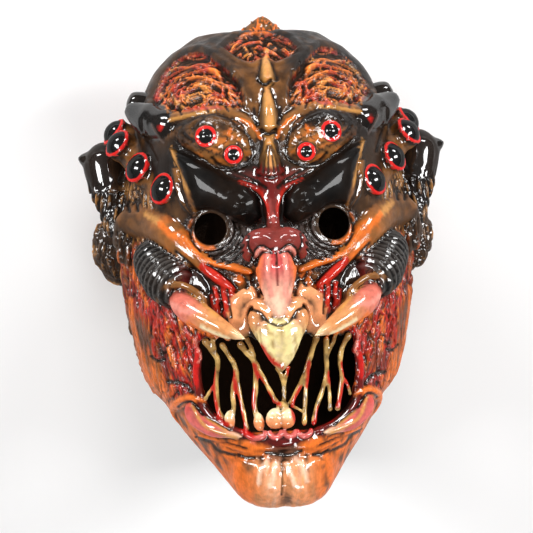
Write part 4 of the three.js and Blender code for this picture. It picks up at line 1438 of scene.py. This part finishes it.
# Paint of the forms by what they are
FORM_PAINT = {
    "crest": "brown", "thorn": "tan", "lid": "brown", "pod": "brown", "stalk": "brown", "black": "jet",
    "horn_root": "black", "ear": "umber", "boss": "umber", "bridge": "dark_pink", "nose": "dark_pink",
    "rim": "umber", "hole_rim": "umber", "strap": "ochre", "red_branch": "red", "gill": "red",
    "upper_beak": "rose", "lower_beak": "cream", "notch": "peach", "web": "peach", "web_skin": "peach",
    "barrel": "jet", "sleeve": "brown", "fang": "sand", "fang_edge": "tan", "lower_fang": "rose",
    "jaw_sleeve": "orange", "strand": "tendon", "tooth": "bone", "gum": "rose", "gum_root": "deep_red",
    "mouth_edge": "deep_red",
}


class Coat:
    """Colour at each place of the skin, laid on in layers."""

    def __init__(self, count):
        self.colour = np.zeros((count, 3))

    def lay(self, share, paint):
        share = np.clip(share, 0, 1)[..., None]
        self.colour = self.colour * (1 - share) + share * PAINT[paint]

    def lay_at(self, rows, share, paint):
        share = np.clip(share, 0, 1)[:, None]
        self.colour[rows] = self.colour[rows] * (1 - share) + share * PAINT[paint]


def paint_skull(lay, skin, noise, fine):
    """Black bands over brown, which thin out down the sides."""
    lay(np.ones(len(skin.p)), "black")
    lay(0.35 + 0.35 * noise, "umber")
    lay(ease(46, 56, skin.y) * ease(0.2, 1.2, fine + noise) * 0.4, "brown")
    lay(ease(60, 70, skin.y) * ease(10, 24, skin.side) * 0.6, "jet")
    lay(ease(20, 4, skin.side) * ease(40, 60, skin.y) * ease(104, 92, skin.y) * (0.6 + 0.2 * fine), "brown")
    lay(ease(34, 0, skin.y) * ease(42, 60, skin.side) * (0.65 + 0.3 * fine), "brown")
    lay(ease(24, 0, skin.y) * ease(48, 60, skin.side) * ease(0.2, 1.2, noise + fine) * 0.5, "tan")


def paint_windows(lay, skin, noise, fine):
    """Orange sinews over dark red in the sunken windows."""
    inside, net = skin.r["inside"], sinews(skin.along, skin.across)
    lay(inside, "deep_red")
    lay(inside * ease(-0.2, 0.9, noise + 0.4 * fine), "red")
    lay(inside * ease(0.5, 1.3, skin.streak - noise) * 0.9, "black")
    lay(inside * ease(0.3, 0.7, net) * ease(1.6, 0.4, noise), "orange")
    lay(inside * ease(0.6, 0.9, net) * ease(0.4, 1.4, fine) * 0.6, "bright_orange")


def paint_cheeks(lay, skin, noise, fine):
    """Brown skin beside the nose, and the red and orange muscle of the cheeks."""
    nose_side, cheek = skin.r["nose_side"], skin.r["cheek"]
    lay(nose_side * 0.8, "brown")
    lay(nose_side * ease(0.1, 0.9, fine) * 0.9, "orange")
    lay(cheek, "red")
    lay(cheek * ease(0.1, 1.0, skin.muscle + 0.5 * noise), "orange")
    lay(cheek * ease(0.5, 1.4, noise - 0.5 * skin.muscle) * 0.8, "deep_red")
    lay(cheek * ease(54, 34, skin.z) * ease(-86, -60, skin.y) * 0.5, "umber")
    lay(cheek * lines(skin.splits, 0.3), "black")


def paint_jaw(lay, skin, noise, fine):
    """Orange jaw, paler towards the middle of the chin, and the mottled edge of the cheeks."""
    jaw, hem = skin.r["jaw"], skin.r["hem"]
    lay(jaw, "orange")
    lay(jaw * ease(0.4, 1.4, fine + 0.4 * skin.streak) * 0.6, "brown")
    lay(jaw * ease(0.6, 1.1, fine - 0.3 * noise) * ease(10, 20, skin.side) * 0.7, "umber")
    middle = jaw * ease(-118, -127, skin.y)
    lay(middle * ease(24, 8, skin.side) * 0.75, "peach")
    stripe = fibres(skin.y, skin.p[:, 0], 30, 3.2, 58)
    lay(middle * ease(15, 6, skin.side) * ease(-0.6, 1.0, stripe) * 0.4, "blush")
    lay(jaw * ease(-114, -118, skin.y) * ease(-127, -121, skin.y) * ease(11, 6, skin.side) * 0.8, "grey")
    lay(hem * ease(-20, 0, skin.z) * (0.35 + 0.65 * ease(-56, -76, skin.y)), "orange")
    lay(hem * ease(0.0, 1.0, fine + skin.muscle) * 0.7, "brown")
    lay(hem * ease(-78, -60, skin.y) * ease(-0.6, 0.6, noise + skin.muscle) * 0.8, "umber")


def paint_brows(lay, skin, fine):
    """Grey eye sockets, black brow plates, and the dark red fan between them."""
    off_plate = 1 - skin.r["brow"]
    lay(skin.r["socket"] * 0.9, "grey")
    lay(skin.r["socket"] * ease(20, 32, skin.side) * ease(-8, -16, skin.y) * 0.8, "deep_red")
    lay(skin.r["ledge"], "brown")
    lay(skin.r["brow"], "jet")
    lay(ease(26, 14, skin.y) * ease(20, 6, skin.side) * ease(4, 14, skin.y) * 0.7 * off_plate, "deep_red")
    fan = ease(33, 27, skin.y) * ease(26, 9, skin.side) * ease(4, 12, skin.y) * off_plate
    lay(fan * (0.75 + 0.25 * fine), "dark_pink")


def paint_sides(lay, skin):
    """Brown and tan strands on the sides of the head."""
    sides = ease(60, 68, skin.side) * ease(34, 22, skin.y) * ease(-34, -26, skin.y) * (1 - skin.r["cheek"])
    lay(sides * 0.8, "umber")
    lay(sides * ease(-0.2, 0.8, skin.streak) * 0.85, "brown")
    lay(sides * ease(0.5, 1.4, skin.streak) * 0.6, "tan")


def paint_ground(coat, skin):
    """The broad paint of the head, under the forms."""
    noise, fine = waves(skin.p, 14, 31), waves(skin.p, 4, 32)
    for paint_part in (paint_skull, paint_windows, paint_cheeks, paint_jaw):
        paint_part(coat.lay, skin, noise, fine)
    paint_brows(coat.lay, skin, fine)
    paint_sides(coat.lay, skin)


class Brush:
    """Paints one form alone.  Share runs along the form from 0 to 1."""

    def __init__(self, coat, skin, form):
        self.coat = coat
        self.form = form
        self.p, self.side, self.y = skin.p, skin.side, skin.y
        gap, self.share = form.distance(skin.p)
        self.cover = ease(form.grow + 0.8, form.grow, gap)

    def lay(self, share, paint):
        self.coat.lay(self.cover * share, paint)


# Finer paint of single kinds of form, with a brush b
def paint_fang(b):
    b.lay(ease(0.55, 0.2, b.share) * 0.8, "rose")
    b.lay(ease(0.12, 0.0, b.share), "deep_red")
    b.lay(ease(0.75, 0.95, b.share) * 0.6, "bone")


def paint_upper_beak(b):
    b.lay(ease(0.45, 0.1, b.share) * ease(8, 2, b.side), "crimson")
    b.lay(ease(0.3, 0.7, b.share) * 0.9, "blush")
    b.lay(ease(5, 10, b.side + 0.1 * (b.y + 20)) * 0.8, "orange")
    b.lay(ease(0.9, 1.4, waves(b.p, 6, 36)) * 0.5, "rose")


def paint_lower_beak(b):
    b.lay(ease(0, 1.0, fibres(b.y, b.p[:, 0], 40, 1.7, 52)) * 0.7, "olive")
    b.lay(ease(0.3, 1.4, fibres(b.y, b.p[:, 0], 40, 2.2, 57)) * 0.5, "bone")
    b.lay(ease(-58, -48, b.y) * ease(5, 10, b.side) * 0.7, "rose")
    b.lay(ease(-3, 1, b.side + 0.5 * (b.y + 52) - 13) * 0.6, "tan")
    b.lay(ease(-68, -78, b.y) * 0.5, "olive")


def paint_tooth(b):
    b.lay(ease(0.2, 1.2, waves(b.p, 3, 38)) * 0.6, "tan")
    b.lay(ease(-99, -104, b.y) * 0.8, "orange")


def paint_strand(b):
    b.lay(ease(0.0, 0.8, waves(b.p, 4, 34)) * 0.75, "olive")
    b.lay(ease(0.6, 1.3, waves(b.p, 2.5, 39)) * 0.7, "umber")
    b.lay(ease(-68, -60, b.y) * 0.6, "brown")


def paint_pod(b):
    slant = fibres(*pod_slant(b.side, b.y), 14, 2.6, 63)
    b.lay(ease(0.1, 0.9, slant) * 0.8, "ochre")
    b.lay(ease(0.5, 1.3, -slant) * 0.8, "umber")
    b.lay(ease(34, 46, b.side) * 0.85, "black")


def paint_stalk(b):
    b.lay(ease(0.0, 1.0, waves(b.p, 5, 64)) * 0.75, "black")


def paint_lower_fang(b):
    b.lay(ease(0.35, 0.1, b.share) * 0.5, "red")
    b.lay(ease(0.7, 0.95, b.share) * 0.6, "bone")


def paint_strap(b):
    mottle = waves(b.p, 5, 33)
    b.lay(ease(36, 62, b.side + 5 * mottle) * 0.9, "brown")
    b.lay(ease(58, 76, b.side + 4 * mottle) * 0.8, "umber")
    b.lay(ease(0.2, 1.2, mottle) * 0.6, "brown")
    b.lay(ease(0.3, 1.2, -mottle) * ease(62, 50, b.side) * 0.7, "orange")


def paint_thorn_light_and_shade(b):
    # Umber on the flanks is painted shade, and the sand stripe down the middle is a painted highlight
    off = np.abs(b.p[:, 0] - b.form.points[0, 0])
    b.lay(ease(1.2, 4, off) * 0.9, "umber")
    b.lay(ease(1.2, 0.4, off) * 0.6, "sand")


def paint_barrel(b):
    b.lay(ease(56, 44, b.side) * 0.8, "deep_red")


def paint_bridge(b):
    b.lay(ease(10, 22, b.y) * 0.8, "deep_red")
    b.lay(ease(0.1, 1.0, fibres(b.y, b.p[:, 0], 18, 1.6, 59)) * ease(20, 8, b.y) * 0.6, "rose")


FINER_PAINT = {
    "fang": paint_fang, "upper_beak": paint_upper_beak, "lower_beak": paint_lower_beak,
    "tooth": paint_tooth, "strand": paint_strand, "pod": paint_pod, "stalk": paint_stalk,
    "lower_fang": paint_lower_fang, "strap": paint_strap, "thorn": paint_thorn_light_and_shade,
    "barrel": paint_barrel, "bridge": paint_bridge,
}


def paint_forms(coat, skin):
    """Each modelled form in its own paint."""
    for form in all_forms:
        if form.paint is None:
            continue
        brush = Brush(coat, skin, form)
        brush.lay(1, FORM_PAINT[form.paint])
        if form.paint in FINER_PAINT:
            FINER_PAINT[form.paint](brush)


def paint_marks(coat, p):
    """The hand-cut marks in their own paint."""
    front = np.where(p[:, 2] > MARKED_Z)[0]
    x, y = p[front, 0], p[front, 1]
    for paint, width, height, line in mark_list():
        reach = 0.5 * width + 0.6
        near, gap = line_distance(x, y, line, reach)
        strength = 0.95 if height <= 0 else 0.85
        coat.lay_at(front[near], strength * ease(reach, 0.4 * width, gap), paint)


def paint_blood(coat, p):
    """Fresh red that runs down the tendons of the mouth."""
    front = np.where(p[:, 2] > BLOOD_Z)[0]
    x, y = p[front, 0], p[front, 1]
    for width, points in BLOOD:
        reach = width + 0.8
        near, gap = line_distance(x, y, fine_line(points, 24), reach)
        coat.lay_at(front[near], 0.95 * ease(reach, width * 0.7, gap), "bright_red")


OFF_EYE = 3.0


def eye_measure(p):
    """How far out places are on an eye: 1 at the dome's edge, 2 at the ring's, OFF_EYE off the eyes."""
    measure = np.full(len(p), OFF_EYE)
    for eye in eye_list():
        o = p - eye.place
        along = o @ eye.way
        away = np.linalg.norm(o - along[:, None] * eye.way, axis=1)
        near = (along > -1.6) & (along < eye.dome) & (away < eye.ring * 1.35)
        on_ring = 1 + (away - eye.dome) / (eye.ring - eye.dome)
        shown = np.where(away < eye.dome, away / eye.dome, on_ring)
        measure = np.where(near, np.minimum(measure, shown), measure)
    return measure


def keep_value(mesh, name, kind, field, values):
    """Keeps a value of each place on the mesh, for the material to read."""
    layer = mesh.attributes.new(name, kind, "POINT")
    layer.data.foreach_set(field, np.ascontiguousarray(values).ravel())


def paint_peak(coat, p):
    peak = peak_share(p)
    coat.lay(peak, "brown")
    coat.lay(peak * ease(0.2, 0.8, peak_folds(p)), "orange")


def paint_wash_and_shade(coat, skin, sunk, wide):
    """Dark wash and painted shade in the grooves and broad hollows, and brighter paint on the ridges and on
    the raised threads of the windows: drybrushed wear and painted highlight.
    """
    # Black by how sunken each place is: paint wash in the grooves, and painted shade in them and in the broad
    # hollows
    wash_and_shade = np.clip(ease(0.05, 0.25, sunk) * 0.8 + ease(0.25, 1.0, wide) * 0.7, 0, 0.93)
    coat.lay(wash_and_shade, "black")
    # Brighter orange on the raised threads of the windows: their paint, and partly a painted highlight
    coat.lay(skin.r["inside"] * ease(0.05, 0.3, -sunk) * 0.35, "bright_orange")
    coat.lay(skin.r["inside"] * ease(0.3, 1.0, waves(skin.p, 8, 37)) * 0.7, "red")
    # Ridges made brighter: drybrushed wear and painted highlight
    coat.colour *= (1 + 0.3 * ease(0.03, 0.2, -sunk))[:, None]


STEEP = 0.75
STEEPEST = 0.66


def dullness(skin, eye, inner, normals):
    """Where the clear coat is thin: inside, on steep sides, on the plates and round the eyes."""
    horns = [form for form in shell_forms if form.paint == "black"]
    polished = np.maximum(0.3 * skin.r["inside"], 0.6 * ease(1.4, 0.6, nearest_form(skin.p, horns)))
    steep = ease(STEEP, STEEPEST, normals[:, 2]) * (1 - polished)
    on_ring = (eye > 1.02) & (eye < 1.9)
    pod = skin.r["pod"] * skin.r["front"] * (eye > 2)
    return np.maximum.reduce([inner, 0.95 * steep, 0.75 * skin.r["hem"], 0.6 * on_ring, 0.88 * skin.r["brow"],
                              0.4 * pod])


def paint_mask(shell):
    """Lays the hand paint on the skin, as colours at its places."""
    mesh = shell.data
    p = mesh_places(mesh)
    skin = Skin(p)
    coat = Coat(len(p))
    paint_ground(coat, skin)
    paint_forms(coat, skin)
    paint_marks(coat, p)
    # Grey on the rib tops of the fang tubes: a painted highlight
    coat.lay(rib_top_highlight(p) * 0.25, "ash")
    paint_peak(coat, p)
    # Dark wash with painted shade in grooves and hollows, and brighter ridges as drybrush and painted
    # highlight
    paint_wash_and_shade(coat, skin, creases(mesh, p, 3), creases(mesh, p, 14))
    paint_blood(coat, p)
    inner = ease(-1.5, -3.0, inner_depth(p)) * ease(3, 6, nearest_form(p, thin_forms))
    coat.lay(inner, "inside")
    bare = ease(-0.2, 1.0, nearest_form(p, all_forms))
    eye = eye_measure(p)
    colour = np.hstack([np.clip(coat.colour, 0, 1), np.ones((len(p), 1))])
    keep_value(mesh, "paint", "FLOAT_COLOR", "color", colour)
    keep_value(mesh, "eye", "FLOAT", "value", eye)
    keep_value(mesh, "dull", "FLOAT", "value", dullness(skin, eye, inner, mesh_normals(mesh)))
    keep_value(mesh, "rough", "FLOAT", "value", skin.rough * (0.06 + 0.94 * bare))
    way = np.stack([skin.along, skin.across, 0 * skin.along], axis=1)
    keep_value(mesh, "flow", "FLOAT_VECTOR", "vector", way)


def inner_depth(p):
    """How far places are outside of the plain head form; below 0 inside it."""
    s = station_at(p[:, 1])
    depth = np.where(p[:, 2] > 0, s[:, 1], s[:, 2])
    half = np.maximum(s[:, 0], 1)
    depth = np.maximum(depth, 1)
    power = s[:, 3]
    level = ((np.abs(p[:, 0]) / half) ** power + (np.abs(p[:, 2]) / depth) ** power) ** (1 / power)
    return (level - 1) * np.minimum(half, depth)


class Nodes:
    """Short words for building a node material."""

    def __init__(self, name):
        self.material = bpy.data.materials.new(name)
        self.material.use_nodes = True
        self.tree = self.material.node_tree
        self.tree.nodes.clear()

    def add(self, kind, **settings):
        node = self.tree.nodes.new(kind)
        for key, value in settings.items():
            if hasattr(node, key):
                setattr(node, key, value)
            else:
                node.inputs[key].default_value = value
        return node

    def link(self, source, target):
        self.tree.links.new(source, target)


def streaks(n, flow, along, across, detail):
    """Noise drawn out along the way that the surface runs."""
    stretch = n.add("ShaderNodeVectorMath", operation="MULTIPLY")
    stretch.inputs[1].default_value = (along, across, 1)
    n.link(flow.outputs["Vector"], stretch.inputs[0])
    noise = n.add("ShaderNodeTexNoise")
    noise.inputs["Scale"].default_value = 1
    noise.inputs["Detail"].default_value = detail
    noise.inputs["Distortion"].default_value = 0.6
    n.link(stretch.outputs[0], noise.inputs["Vector"])
    return noise.outputs["Fac"]


def grain(n, place, scale, detail):
    """Even noise of the given fineness."""
    noise = n.add("ShaderNodeTexNoise")
    noise.inputs["Scale"].default_value = scale
    noise.inputs["Detail"].default_value = detail
    n.link(place.outputs["Object"], noise.inputs["Vector"])
    return noise.outputs["Fac"]


def spread(n, value, low, high, new_low, new_high):
    """A value moved from one range to another."""
    node = n.add("ShaderNodeMapRange")
    for row, number in enumerate((low, high, new_low, new_high), start=1):
        node.inputs[row].default_value = number
    n.link(value, node.inputs[0])
    return node.outputs[0]


def reckon(n, operation, first, second):
    """One sum on values or numbers."""
    node = n.add("ShaderNodeMath", operation=operation)
    for row, value in enumerate((first, second)):
        if isinstance(value, (int, float)):
            node.inputs[row].default_value = value
        else:
            n.link(value, node.inputs[row])
    return node.outputs[0]


def blend(n, kind, share, first, second):
    """Two colours mixed by a share."""
    node = n.add("ShaderNodeMix", data_type="RGBA", blend_type=kind)
    for row, value in ((0, share), (6, first), (7, second)):
        if isinstance(value, (int, float, tuple)):
            node.inputs[row].default_value = value
        else:
            n.link(value, node.inputs[row])
    return node.outputs[2]


# Colours across an eye, at half of its measure
DOME_CODE = "0b0a0a"
RING_COLOURS = [(0.46, DOME_CODE), (0.5, "a3120f"), (0.55, "e02824"), (0.86, "d81f1c"), (0.91, "8e5a4c"),
                (0.94, "4a342c")]


def eye_colours(n, eye):
    """Black dome, bright red bead and a thin pale rim, by the share of the radius."""
    iris = n.add("ShaderNodeValToRGB")
    iris.color_ramp.interpolation = "LINEAR"
    ramp = iris.color_ramp.elements
    ramp[0].position, ramp[0].color = 0.0, (*tint(DOME_CODE), 1)
    ramp[1].position, ramp[1].color = 0.98, (*tint(PAINT_CODES["black"]), 1)
    for position, code in RING_COLOURS:
        ramp.new(position).color = (*tint(code), 1)
    n.link(reckon(n, "MULTIPLY", eye, 0.5), iris.inputs["Fac"])
    return iris.outputs["Color"]


# Gloss coat: weight, how much of it is missing where it is dull, roughness and strength of its mirror
COAT_WEIGHT = 0.52
COAT_THINNING = 0.5
COAT_ROUGHNESS = 0.05
COAT_IOR = 2.3
BARE_SHINE = 0.07
BUMP_DISTANCE = 0.0022
CLOUD_CODE = "6a4526"


def lacquered_latex():
    """Hand painted latex under a clear gloss coat."""
    n = Nodes("lacquered_latex")
    shader = n.add("ShaderNodeBsdfPrincipled")
    shader.inputs["Coat Roughness"].default_value = COAT_ROUGHNESS
    shader.inputs["Coat IOR"].default_value = COAT_IOR
    shader.inputs["Specular IOR Level"].default_value = BARE_SHINE
    output = n.add("ShaderNodeOutputMaterial")
    n.link(shader.outputs[0], output.inputs[0])
    place = n.add("ShaderNodeTexCoord")
    paint = n.add("ShaderNodeAttribute", attribute_name="paint").outputs["Color"]
    eye = n.add("ShaderNodeAttribute", attribute_name="eye").outputs["Fac"]
    dull = n.add("ShaderNodeAttribute", attribute_name="dull").outputs["Fac"]
    rough = n.add("ShaderNodeAttribute", attribute_name="rough").outputs["Fac"]
    flow = n.add("ShaderNodeAttribute", attribute_name="flow")
    skin = reckon(n, "GREATER_THAN", eye, 2.0)
    thread = streaks(n, flow, 0.07, 0.5, 2)
    hair = streaks(n, flow, 0.2, 1.2, 1)
    thread_ridge = reckon(n, "ABSOLUTE", reckon(n, "SUBTRACT", thread, 0.5), 0)
    hair_ridge = reckon(n, "ABSOLUTE", reckon(n, "SUBTRACT", hair, 0.5), 0)
    dark = spread(n, thread_ridge, 0.0, 0.04, 0.2, 1.12)
    streaked = blend(n, "MULTIPLY", reckon(n, "MULTIPLY", rough, 0.85), paint, dark)
    dust = spread(n, grain(n, place, 330, 5), 0.36, 0.56, 0.8, 1.08)
    dusty = blend(n, "MULTIPLY", 0.75, streaked, dust)
    cloud = spread(n, grain(n, place, 45, 3), 0.4, 0.62, 0.0, 0.05)
    worn = blend(n, "MIX", cloud, dusty, (*tint(CLOUD_CODE), 1))
    n.link(blend(n, "MIX", skin, eye_colours(n, eye), worn), shader.inputs["Base Color"])
    n.link(spread(n, grain(n, place, 160, 4), 0.35, 0.65, 0.32, 0.55), shader.inputs["Roughness"])
    thinner = reckon(n, "MULTIPLY", dull, COAT_THINNING)
    n.link(reckon(n, "SUBTRACT", COAT_WEIGHT, thinner), shader.inputs["Coat Weight"])
    folds = reckon(n, "ADD", thread_ridge, reckon(n, "MULTIPLY", hair_ridge, 0.3))
    relief = reckon(n, "MULTIPLY", folds, rough)
    fine = reckon(n, "MULTIPLY", grain(n, place, 420, 4), 0.03)
    strength = reckon(n, "MULTIPLY", skin, 0.9)
    for height, socket in ((reckon(n, "ADD", relief, fine), "Normal"), (relief, "Coat Normal")):
        bump = n.add("ShaderNodeBump")
        bump.inputs["Distance"].default_value = BUMP_DISTANCE
        n.link(strength, bump.inputs["Strength"])
        n.link(height, bump.inputs["Height"])
        n.link(bump.outputs[0], shader.inputs[socket])
    return n.material


mask = mask_mesh()
paint_mask(mask)
only(mask)
mask.data.transform(HEAD_TO_FRAME)
bpy.ops.object.shade_smooth()
mask.data.materials.clear()
mask.data.materials.append(lacquered_latex())
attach(mask, "root")
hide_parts("mask_shell")


FLOOR_SIZE = 8
FLOOR_Z = -0.0005
FLOOR_GREY = 0.95


def plain_floor():
    bpy.ops.mesh.primitive_plane_add(size=FLOOR_SIZE, location=(0, 0, FLOOR_Z))
    floor = bpy.context.object
    floor.name = "floor"
    n = Nodes("pale_floor")
    shader = n.add("ShaderNodeBsdfPrincipled")
    shader.inputs["Base Color"].default_value = (FLOOR_GREY, FLOOR_GREY, FLOOR_GREY, 1)
    shader.inputs["Roughness"].default_value = 0.7
    output = n.add("ShaderNodeOutputMaterial")
    n.link(shader.outputs[0], output.inputs[0])
    floor.data.materials.append(n.material)


# Soft boxes: name, place, width, height and power.  All of them look at the middle of the mask.
LIGHTS_AIM = (0, 0, 0.12)
LIGHTS = [
    ("left_box", (-0.95, 0.3, 1.05), 0.3, 0.6, 11),
    ("right_box", (0.95, 0.3, 1.05), 0.3, 0.6, 11),
    ("front_box", (0.1, 0.55, 1.6), 0.5, 0.2, 4),
    ("crown_left_box", (-0.75, 1.2, 0.65), 0.4, 0.25, 6),
    ("crown_right_box", (0.75, 1.2, 0.65), 0.4, 0.25, 6),
    ("low_box", (0.25, -1.0, 1.1), 0.5, 0.3, 6),
]
WORLD_STRENGTH = 0.1


def soft_box(name, location, width, height, power):
    bpy.ops.object.light_add(type="AREA", location=location)
    lamp = bpy.context.object
    lamp.name = name
    lamp.data.shape = "RECTANGLE"
    lamp.data.size = width
    lamp.data.size_y = height
    lamp.data.energy = power
    way = Vector(LIGHTS_AIM) - Vector(location)
    lamp.rotation_mode = "QUATERNION"
    lamp.rotation_quaternion = way.to_track_quat("-Z", "Y")


def studio():
    plain_floor()
    for light in LIGHTS:
        soft_box(*light)
    world = bpy.data.worlds.new("studio")
    bpy.context.scene.world = world
    world.use_nodes = True
    background = world.node_tree.nodes["Background"]
    background.inputs["Color"].default_value = (1, 1, 1, 1)
    background.inputs["Strength"].default_value = WORLD_STRENGTH
    bpy.context.scene.view_settings.view_transform = "Standard"


studio()
